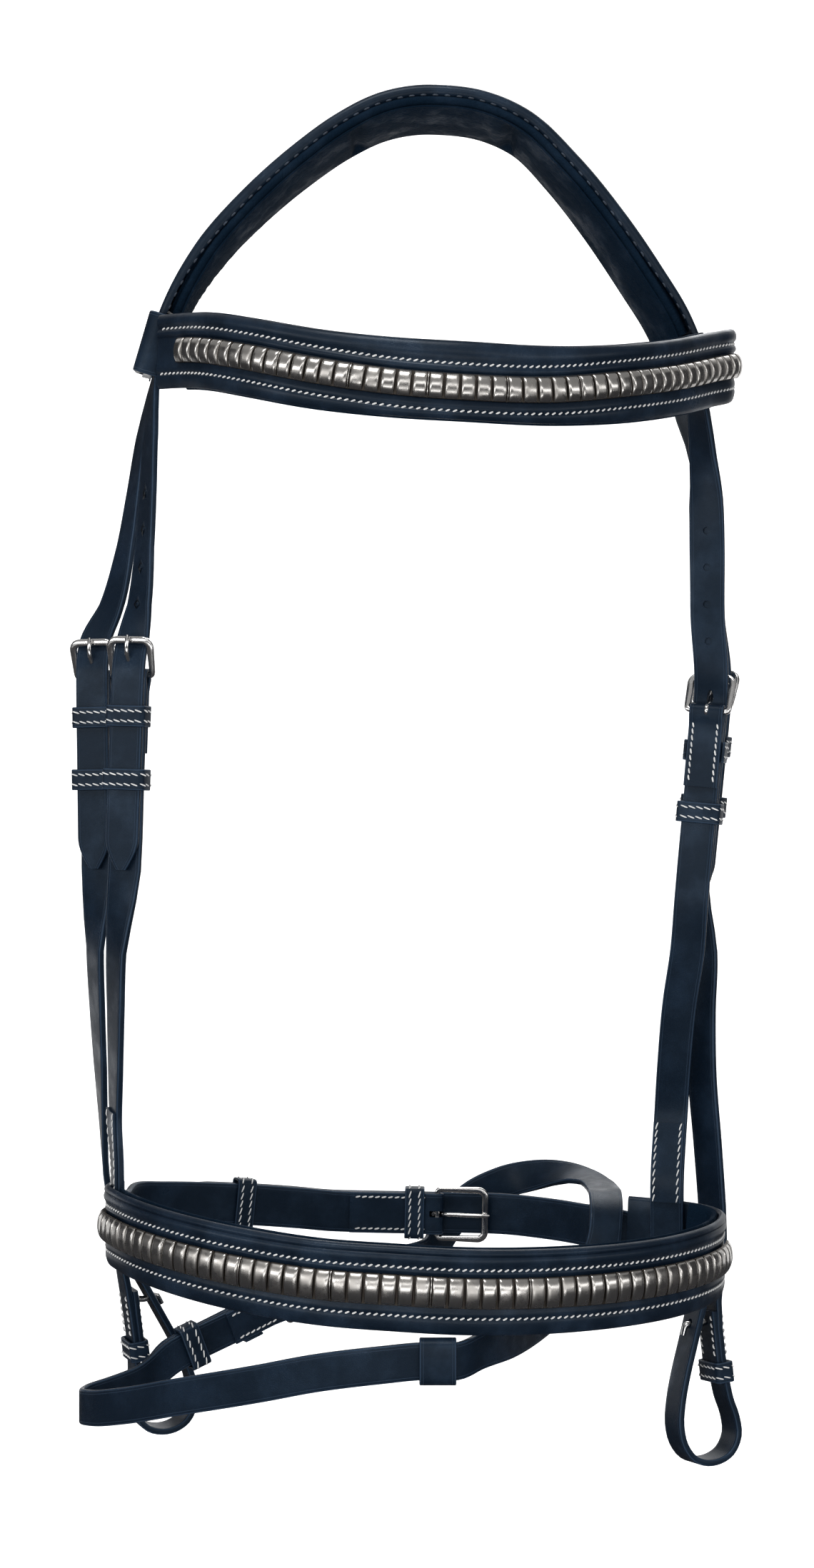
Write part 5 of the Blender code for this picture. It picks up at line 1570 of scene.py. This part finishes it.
def make_browband():
    stations = lay(upright_rows(BROWBAND_shares, BAND_STEPS))
    dropped = [spot(line) - UP * line[3] * BROW_BEAD_DROP for line in BROWBAND_shares]
    total = lengths(stations)[-1]
    lining_span, (start, end) = [total * share for share in BROW_LINING_shares], BROW_BEADS_shares
    make_band(
        "browband", stations, lay([Row(place, UP, BAND_STEPS) for place in dropped]), BROW_WIDTH, BROW_FACE_shares,
        lining_span, BROW_SEAM_shares,
        (BROW_BEAD_HEIGHT, BROW_BEAD_PITCH, total * start, total * end, BROW_JOINT_EVERY),
    )


def noseband_stations():
    return lay(upright_rows(NOSEBAND_shares, BAND_STEPS))


def make_noseband(stations):
    total = lengths(stations)[-1]
    start, end = NOSE_BEADS_shares
    make_band(
        "noseband", stations, stations, NOSE_WIDTH, NOSE_FACE_shares,
        (HANGER_FROM_LEFT + LINING_BESIDE, total - HANGER_FROM_RIGHT - LINING_BESIDE), NOSE_SEAM_shares,
        (NOSE_BEAD_HEIGHT, NOSE_BEAD_PITCH, total * start, total * end, NOSE_JOINT_EVERY),
    )


def hanger_join(stations, distance):
    """The hanger's last rows, flat against the noseband strap's inner face."""
    s = station_at(stations, distance)
    foot = s.place + s.face * (LINING_OUT - STRAP_THICK / 2 - SEWN_GAP)
    return [Row(foot + UP * (NOSE_WIDTH * share), s.run, 1) for share in HANGER_FOOT_shares]


def chin_join(stations, distances, out, rise=0):
    """A chin strap's rows where it lies sewn flat to the noseband's end."""
    found = []
    for distance in distances:
        s = station_at(stations, distance)
        found.append(Row(s.place + s.face * out + s.across * rise, UP, 1))
    return found


def make_chin(nose):
    seat = make_seat(SEAT_shares["chin"])
    near, thicks = buckle_rows(seat, CHIN_TURN_BACK, CHIN_TURN_BACK * CHIN_STRAIGHT_share)
    far = upright_rows(CHIN_LEFT_shares[::-1])
    sewn = [CHIN_WIDTH * share for share in CHIN_LEFT_SEWN_shares]
    rows = near + far + chin_join(nose, sewn, LINING_OUT - STRAP_THICK / 2, CHIN_WIDTH * CHIN_LIFT_share)
    stations = buckled_strap("chin_buckle_strap", "chin", seat, rows, thicks, CHIN_WIDTH, CHIN_TURN_BACK)[1]
    make_chin_point(seat, nose, stations)
    face = flipped(seat)
    rise = WIRE_RADIUS * CHIN_FRAME_RISE_share
    buckle_frame("chin_buckle", face, CHIN_BUCKLE_LENGTH, CHIN_WIDTH, rise)
    tongue("chin_tongue", face, CHIN_BUCKLE_LENGTH, rise)


def make_chin_point(seat, nose, carrier):
    """From the noseband's right end, behind the frame and along the outside of the buckle strap."""
    heel, total = CHIN_TURN_BACK + WRAP_RADIUS * 2, lengths(nose)[-1]
    outside = BAND_OUT + BAND_THICK / 2 + GAP + POINT_THICK / 2
    rows = chin_join(nose, [total - CHIN_WIDTH * share for share in CHIN_RIGHT_SEWN_shares], outside)
    rows += upright_rows(CHIN_RIGHT_shares)
    rows += seat_rows(seat, [(-CHIN_BUCKLE_LENGTH / 2, POINT_OUT), (0, POINT_OUT)])
    beside = [station_at(carrier, heel + CHIN_POINT_LENGTH * share) for share in CHIN_BESIDE_shares]
    rows += [Row(s.place, s.across, 1) for s in shift(beside, POINT_OUT - MAIN_OUT)]
    stations = lay(rows)
    obj = strap("chin_point_strap", stations, tip_widths(stations, CHIN_WIDTH), POINT_THICK)
    punch_holes(obj, stations, lengths(stations)[-1] - FIRST_HOLE)
    for name, along in (("chin_keeper", CHIN_KEEPER_AT), ("chin_far_keeper", CHIN_RUNNER_AT)):
        s = station_at(carrier, heel + along)
        middle = s._replace(place=s.place - s.face * MAIN_OUT)
        low = MAIN_OUT - STRAP_THICK / 2 - KEEPER_CLEAR
        if along < CHIN_TURN_BACK:
            low = TURN_BACK_OUT - SKIVED_THICK / 2 - KEEPER_CLEAR
        runner(name, middle, CHIN_WIDTH, low)


def make_flash():
    """One strap: tip, buckle, over the chin strap, through the loop, round and back to its buckle."""
    seat = make_seat(SEAT_shares["flash"])
    turn_back = TURN_BACK * FLASH_END_share
    tip_first = point_rows(seat, POINT_LENGTH * FLASH_END_share)[::-1]
    near, thicks = buckle_rows(seat, turn_back, turn_back * 2)
    at = spot(FLASH_LOOP_shares)
    aside = Vector((FLASH_LOOP_WIDTH / 2, 0, 0))
    through = [Row(at + aside, UP, 1), Row(at - aside, UP)]
    rows = tip_first + aimed_rows(FLASH_OVER_shares) + through + aimed_rows(FLASH_FRONT_shares) + near[::-1]
    stations = lay(rows)
    thick_rows = [POINT_THICK] * (len(rows) - len(near)) + thicks[::-1]
    widths = tip_widths(stations[::-1], STRAP_WIDTH)[::-1]
    obj = strap("flash_strap", stations, widths, thick_list(rows, thick_rows))
    tongue_slot(obj, seat)
    tongue_hole(obj, seat)
    turn_back_seams("flash_seams", seat, turn_back, STRAP_WIDTH, BODY_OF["flash_strap"])
    make_buckle("flash", seat)
    return at


def make_flash_loop(at):
    """Sewn under the noseband's middle; the flash strap runs through it."""
    middle = square_up(at, Vector((-1, 0, 0)), UP)
    deep, half = FLASH_LOOP_DEPTH / 2, STRAP_WIDTH / 2 + KEEPER_CLEAR
    sizes = (FLASH_LOOP_WIDTH, FLASH_LOOP_THICK, FLASH_LOOP_CORNER)
    band_round("flash_loop", middle, -deep, deep, half, *sizes, sewn=False)


# Stage: the photograph's view, soft lamps, and a pale floor and wall

CAMERA_AT = (-0.008, -1.0, -0.2398)
VIEW_HEIGHT = 0.5712
SENSOR = 24.0
FLOOR_Z = -0.62
FLOOR_BEND_share = 0.5
FLOOR_STEPS = 12
WALL_Y = 1.6
WALL_HEIGHT = 2.6
STAGE_HALF = 2.6
LAMPS = (
    ("lamp_over", (-0.25, -0.75, 1.15), (0.9, 0.5), 11.0),
    ("lamp_front", (0, -2.6, 0.42), (3.2, 0.40), 9.5),
    ("lamp_low", (0, -0.75, -0.43), (1.0, 0.12), 1.1),
    ("lamp_left", (-1.75, -1.1, 0.0), (2.2, 0.36), 9.0),
    ("lamp_right", (1.75, -1.1, 0.0), (2.2, 0.32), 5.4),
    ("lamp_behind", (0.3, 1.1, 0.9), (1.2, 0.6), 8.0),
)
AIM = Vector((0, 0, -0.25))
DARK_CARDS = (
    ("card_low", (0, -0.4, -0.60), (3.4, 2.6), (0, 0, 1)),
    ("card_front", (0, -2.7, -0.45), (3.6, 1.1), (0, 1, 0)),
    ("card_left", (-1.5, 0.25, 0), (1.5, 1.6), (1, 0, 0)),
    ("card_right", (1.5, 0.55, 0), (1.9, 1.6), (-1, 0, 0)),
    ("card_behind", (-0.95, 1.25, 0.32), (1.3, 1.0), (0.6, -1, 0)),
)
GLOSSY_share = 0.38


def turn_to(obj, way, front):
    """Turns an object so that its front axis looks this way."""
    obj.rotation_mode = "QUATERNION"
    obj.rotation_quaternion = Vector(way).to_track_quat(front, "Y")


def add_lamp(name, at, size, power):
    """A soft area lamp, which the camera doesn't see."""
    data = bpy.data.lights.new(name, "AREA")
    data.shape = "RECTANGLE"
    data.size, data.size_y = size
    data.energy = power
    lamp = new_object(name, data)
    lamp.location = at
    lamp.visible_camera = False
    turn_to(lamp, AIM - Vector(at), "-Z")


def add_card(name, at, size, way, look):
    """A dark card that only reflections see, as a photographer sets beside polished metal."""
    x, y = size[0] / 2, size[1] / 2
    mesh = bpy.data.meshes.new(name)
    mesh.from_pydata([(-x, -y, 0), (x, -y, 0), (x, y, 0), (-x, y, 0)], [], [(0, 1, 2, 3)])
    mesh.materials.append(look)
    card = new_object(name, mesh)
    card.location = at
    card.visible_camera = card.visible_diffuse = card.visible_transmission = card.visible_shadow = False
    turn_to(card, way, "Z")


def pale_floor(colour, glow):
    """The floor's material, with light of its own that the camera and clear reflections see."""
    made, w, shader = new_material(
        "pale_floor", Base_Color=(*colour, 1), Roughness=0.9, Specular_IOR_Level=0.0, Emission_Color=(1, 1, 1, 1))
    path = w.add("ShaderNodeLightPath").outputs
    seen = w.math("MAXIMUM", path["Is Camera Ray"], w.math("MULTIPLY", path["Is Glossy Ray"], GLOSSY_share))
    seen = w.math("MAXIMUM", seen, path["Is Transmission Ray"])
    w.feed(w.math("MULTIPLY", seen, glow), shader["Emission Strength"])
    return made


def add_floor(look):
    """Floor and wall in one sheet, joined by a wide bend."""
    bend = WALL_Y * FLOOR_BEND_share
    profile = [(-STAGE_HALF, FLOOR_Z)]
    for step in range(FLOOR_STEPS + 1):
        turn = math.pi / 2 * step / FLOOR_STEPS
        profile.append((WALL_Y - bend + bend * math.sin(turn), FLOOR_Z + bend - bend * math.cos(turn)))
    profile.append((WALL_Y, WALL_HEIGHT))
    verts = [(x, y, z) for y, z in profile for x in (-STAGE_HALF, STAGE_HALF)]
    mesh = bpy.data.meshes.new("floor")
    mesh.from_pydata(verts, [], [(k, k + 1, k + 3, k + 2) for k in range(0, len(verts) - 2, 2)])
    mesh.polygons.foreach_set("use_smooth", [True] * len(mesh.polygons))
    mesh.materials.append(look)
    new_object("floor", mesh)


def light_world(room_light):
    """White for the camera, and a weaker even light on everything."""
    world = bpy.data.worlds.new("studio")
    bpy.context.scene.world = world
    world.use_nodes = True
    back = world.node_tree.nodes["Background"].inputs
    back["Color"].default_value = (1, 1, 1, 1)
    w = Wiring(world.node_tree)
    path = w.add("ShaderNodeLightPath").outputs
    seen = w.math("MAXIMUM", path["Is Camera Ray"], path["Is Transmission Ray"])
    strength = w.add("ShaderNodeMapRange", None, {"Value": seen, "To Min": room_light, "To Max": 1.0})
    w.feed(strength.outputs[0], back["Strength"])


def add_camera():
    """The photograph's view, which its height and the camera's distance give."""
    data = bpy.data.cameras.new("photo_view")
    data.sensor_fit = "VERTICAL"
    data.sensor_height = SENSOR
    data.lens = SENSOR * abs(CAMERA_AT[1]) / VIEW_HEIGHT
    data.clip_start, data.clip_end = 0.01, 20
    camera = new_object("photo_view", data)
    camera.location = CAMERA_AT
    camera.rotation_euler = (math.pi / 2, 0, 0)
    bpy.context.scene.camera = camera


COLOUR_FIELD = {"subtype": "COLOR", "min": 0, "max": 1}
LENGTH_FIELD = {"subtype": "DISTANCE", "unit": "LENGTH"}


class BridleFinishes(bpy.types.PropertyGroup):
    """Colours of the leather, the thread and the metal"""

    strap_colour: bpy.props.FloatVectorProperty(
        name="Strap", description="Colour of the straps", default=(0.0030, 0.0088, 0.0195), **COLOUR_FIELD)
    # The rubbed colour is worn leather's, and it also paints the highlights on the edges' bevels and pressed lines
    # and the paler sheen patches; the dark thread's dirt takes it too
    wear_and_sheen_colour: bpy.props.FloatVectorProperty(
        name="Rubbed", description="Colour of rubbed leather and cut edges", default=(0.032, 0.056, 0.096),
        **COLOUR_FIELD)
    lining_colour: bpy.props.FloatVectorProperty(
        name="Lining", description="Colour of the soft linings", default=(0.0046, 0.0122, 0.0245), **COLOUR_FIELD)
    thread_colour: bpy.props.FloatVectorProperty(
        name="Thread", description="Colour of the seams", default=(0.80, 0.80, 0.79), **COLOUR_FIELD)
    seam_colour: bpy.props.FloatVectorProperty(
        name="Dark thread", description="Colour of the crown's seam", default=(0.014, 0.026, 0.046), **COLOUR_FIELD)
    thread_dirt: bpy.props.FloatVectorProperty(
        name="Thread dirt", description="Colour of soiled thread", default=(0.46, 0.47, 0.49), **COLOUR_FIELD)
    steel_colour: bpy.props.FloatVectorProperty(
        name="Steel", description="Colour of the buckles", default=(0.84, 0.83, 0.82), **COLOUR_FIELD)
    nickel_colour: bpy.props.FloatVectorProperty(
        name="Nickel", description="Colour of the clincher beads", default=(0.57, 0.55, 0.525), **COLOUR_FIELD)


class BridleSewing(bpy.types.PropertyGroup):
    """Sizes of the seams"""

    pitch: bpy.props.FloatProperty(
        name="Pitch", description="Distance from stitch to stitch", default=0.0025, min=0.001, max=0.006,
        **LENGTH_FIELD)
    length: bpy.props.FloatProperty(
        name="Length", description="Length of one stitch", default=0.0021, min=0.0005, max=0.006, **LENGTH_FIELD)
    thread: bpy.props.FloatProperty(
        name="Thread", description="Thickness of the thread", default=0.00062, min=0.0002, max=0.002, **LENGTH_FIELD)
    slant: bpy.props.FloatProperty(
        name="Slant", description="Angle of a stitch to its row, in degrees", default=28.0, min=0, max=45)


class BridlePadding(bpy.types.PropertyGroup):
    """Sizes of the soft linings"""

    crease_depth: bpy.props.FloatProperty(
        name="Crease depth", description="Depth of the wrinkles in the linings", default=0.0007, min=0, max=0.002,
        **LENGTH_FIELD)


class BridleStage(bpy.types.PropertyGroup):
    """Light and floor"""

    floor_colour: bpy.props.FloatVectorProperty(
        name="Floor", description="Colour of the floor and the wall", default=(0.90, 0.90, 0.90), **COLOUR_FIELD)
    floor_glow: bpy.props.FloatProperty(
        name="Floor glow", description="White that the camera sees on the floor", default=0.75, min=0, max=1)
    room_light: bpy.props.FloatProperty(
        name="Room light", description="Light from all round", default=0.29, min=0, max=2)
    card_colour: bpy.props.FloatVectorProperty(
        name="Cards", description="Colour of the dark cards in the reflections", default=(0.06, 0.06, 0.064),
        **COLOUR_FIELD)


class BRIDLE_OT_stage(bpy.types.Operator):
    """Sets up the camera, the lamps, the floor and the room's light"""

    bl_idname = "bridle.stage"
    bl_label = "Stage"

    def execute(self, context):
        settings = context.scene.bridle_stage
        add_camera()
        for lamp in LAMPS:
            add_lamp(*lamp)
        dark = new_material(
            "dark_card", Base_Color=(*settings.card_colour, 1), Roughness=1.0, Specular_IOR_Level=0.0)[0]
        for card in DARK_CARDS:
            add_card(*card, dark)
        add_floor(pale_floor(settings.floor_colour, settings.floor_glow))
        light_world(settings.room_light)
        context.scene.view_settings.view_transform = "Standard"
        return {"FINISHED"}


class BRIDLE_OT_crown(bpy.types.Operator):
    """Makes the crown strap, its soft pad and the browband's loops on its feet"""

    bl_idname = "bridle.crown"
    bl_label = "Crown"

    def execute(self, context):
        crown = make_crown()
        make_crown_lining(crown)
        for hand in (LEFT, RIGHT):
            brow_loop(hand, crown)
        return {"FINISHED"}


class BRIDLE_OT_points(bpy.types.Operator):
    """Makes the four punched points that hang from the crown"""

    bl_idname = "bridle.points"
    bl_label = "Points"

    def execute(self, context):
        crown = lay(crown_rows())
        offset = STRAP_WIDTH / 2 + GAP
        for hand in (LEFT, RIGHT):
            make_point(hand + "_cheek", hand, crown, offset)
            make_point(hand + "_noseband", hand, crown, -offset)
        return {"FINISHED"}


class BRIDLE_OT_cheekpieces(bpy.types.Operator):
    """Makes both cheekpieces with their bit loops, safes and hooks"""

    bl_idname = "bridle.cheekpieces"
    bl_label = "Cheekpieces"

    def execute(self, context):
        for hand in (LEFT, RIGHT):
            make_cheekpiece(hand)
        return {"FINISHED"}


class BRIDLE_OT_buckles(bpy.types.Operator):
    """Makes the four cheek buckles with their keepers and runners"""

    bl_idname = "bridle.buckles"
    bl_label = "Buckles"

    def execute(self, context):
        for hand in (LEFT, RIGHT):
            for label in (hand + "_cheek", hand + "_noseband"):
                make_buckle(label, make_seat(SEAT_shares[label]))
        return {"FINISHED"}


class BRIDLE_OT_browband(bpy.types.Operator):
    """Makes the padded browband and its beads"""

    bl_idname = "bridle.browband"
    bl_label = "Browband"

    def execute(self, context):
        make_browband()
        return {"FINISHED"}


class BRIDLE_OT_noseband(bpy.types.Operator):
    """Makes the padded noseband, its beads and both hangers"""

    bl_idname = "bridle.noseband"
    bl_label = "Noseband"

    def execute(self, context):
        nose = noseband_stations()
        make_noseband(nose)
        make_hanger(LEFT, hanger_join(nose, HANGER_FROM_LEFT))
        make_hanger(RIGHT, hanger_join(nose, lengths(nose)[-1] - HANGER_FROM_RIGHT))
        return {"FINISHED"}


class BRIDLE_OT_chin(bpy.types.Operator):
    """Makes the chin strap's two halves, its buckle and its keepers"""

    bl_idname = "bridle.chin"
    bl_label = "Chin strap"

    def execute(self, context):
        make_chin(noseband_stations())
        return {"FINISHED"}


class BRIDLE_OT_flash(bpy.types.Operator):
    """Makes the flash strap, its buckle and the loop that carries it"""

    bl_idname = "bridle.flash"
    bl_label = "Flash strap"

    def execute(self, context):
        make_flash_loop(make_flash())
        return {"FINISHED"}


STEPS = (
    BRIDLE_OT_stage, BRIDLE_OT_crown, BRIDLE_OT_points, BRIDLE_OT_cheekpieces, BRIDLE_OT_buckles,
    BRIDLE_OT_browband, BRIDLE_OT_noseband, BRIDLE_OT_chin, BRIDLE_OT_flash,
)
SETTINGS = (
    ("bridle_finishes", BridleFinishes), ("bridle_sewing", BridleSewing), ("bridle_padding", BridlePadding),
    ("bridle_stage", BridleStage),
)


class BRIDLE_PT_panel(bpy.types.Panel):
    """Lists the bridle's sizes, colours and pieces"""

    bl_idname = "BRIDLE_PT_panel"
    bl_label = "Horse Bridle"
    bl_space_type = "VIEW_3D"
    bl_region_type = "UI"
    bl_category = "Bridle"

    def draw(self, context):
        for name, group in SETTINGS:
            box = self.layout.box()
            for key in group.__annotations__:
                box.prop(getattr(context.scene, name), key)
        for step in STEPS:
            self.layout.operator(step.bl_idname)


def register():
    for name, group in SETTINGS:
        bpy.utils.register_class(group)
        setattr(bpy.types.Scene, name, bpy.props.PointerProperty(type=group))
    for step in (*STEPS, BRIDLE_PT_panel):
        bpy.utils.register_class(step)


def unregister():
    for step in (BRIDLE_PT_panel, *STEPS[::-1]):
        bpy.utils.unregister_class(step)
    for name, group in SETTINGS[::-1]:
        delattr(bpy.types.Scene, name)
        bpy.utils.unregister_class(group)


def write_sizes():
    """Brings the scene's placements up to date."""
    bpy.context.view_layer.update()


def main():
    register()
    bpy.ops.bridle.stage()
    bpy.ops.bridle.crown()
    bpy.ops.bridle.points()
    bpy.ops.bridle.cheekpieces()
    bpy.ops.bridle.buckles()
    bpy.ops.bridle.browband()
    bpy.ops.bridle.noseband()
    bpy.ops.bridle.chin()
    bpy.ops.bridle.flash()
    write_sizes()


if __name__ == "__main__":
    main()
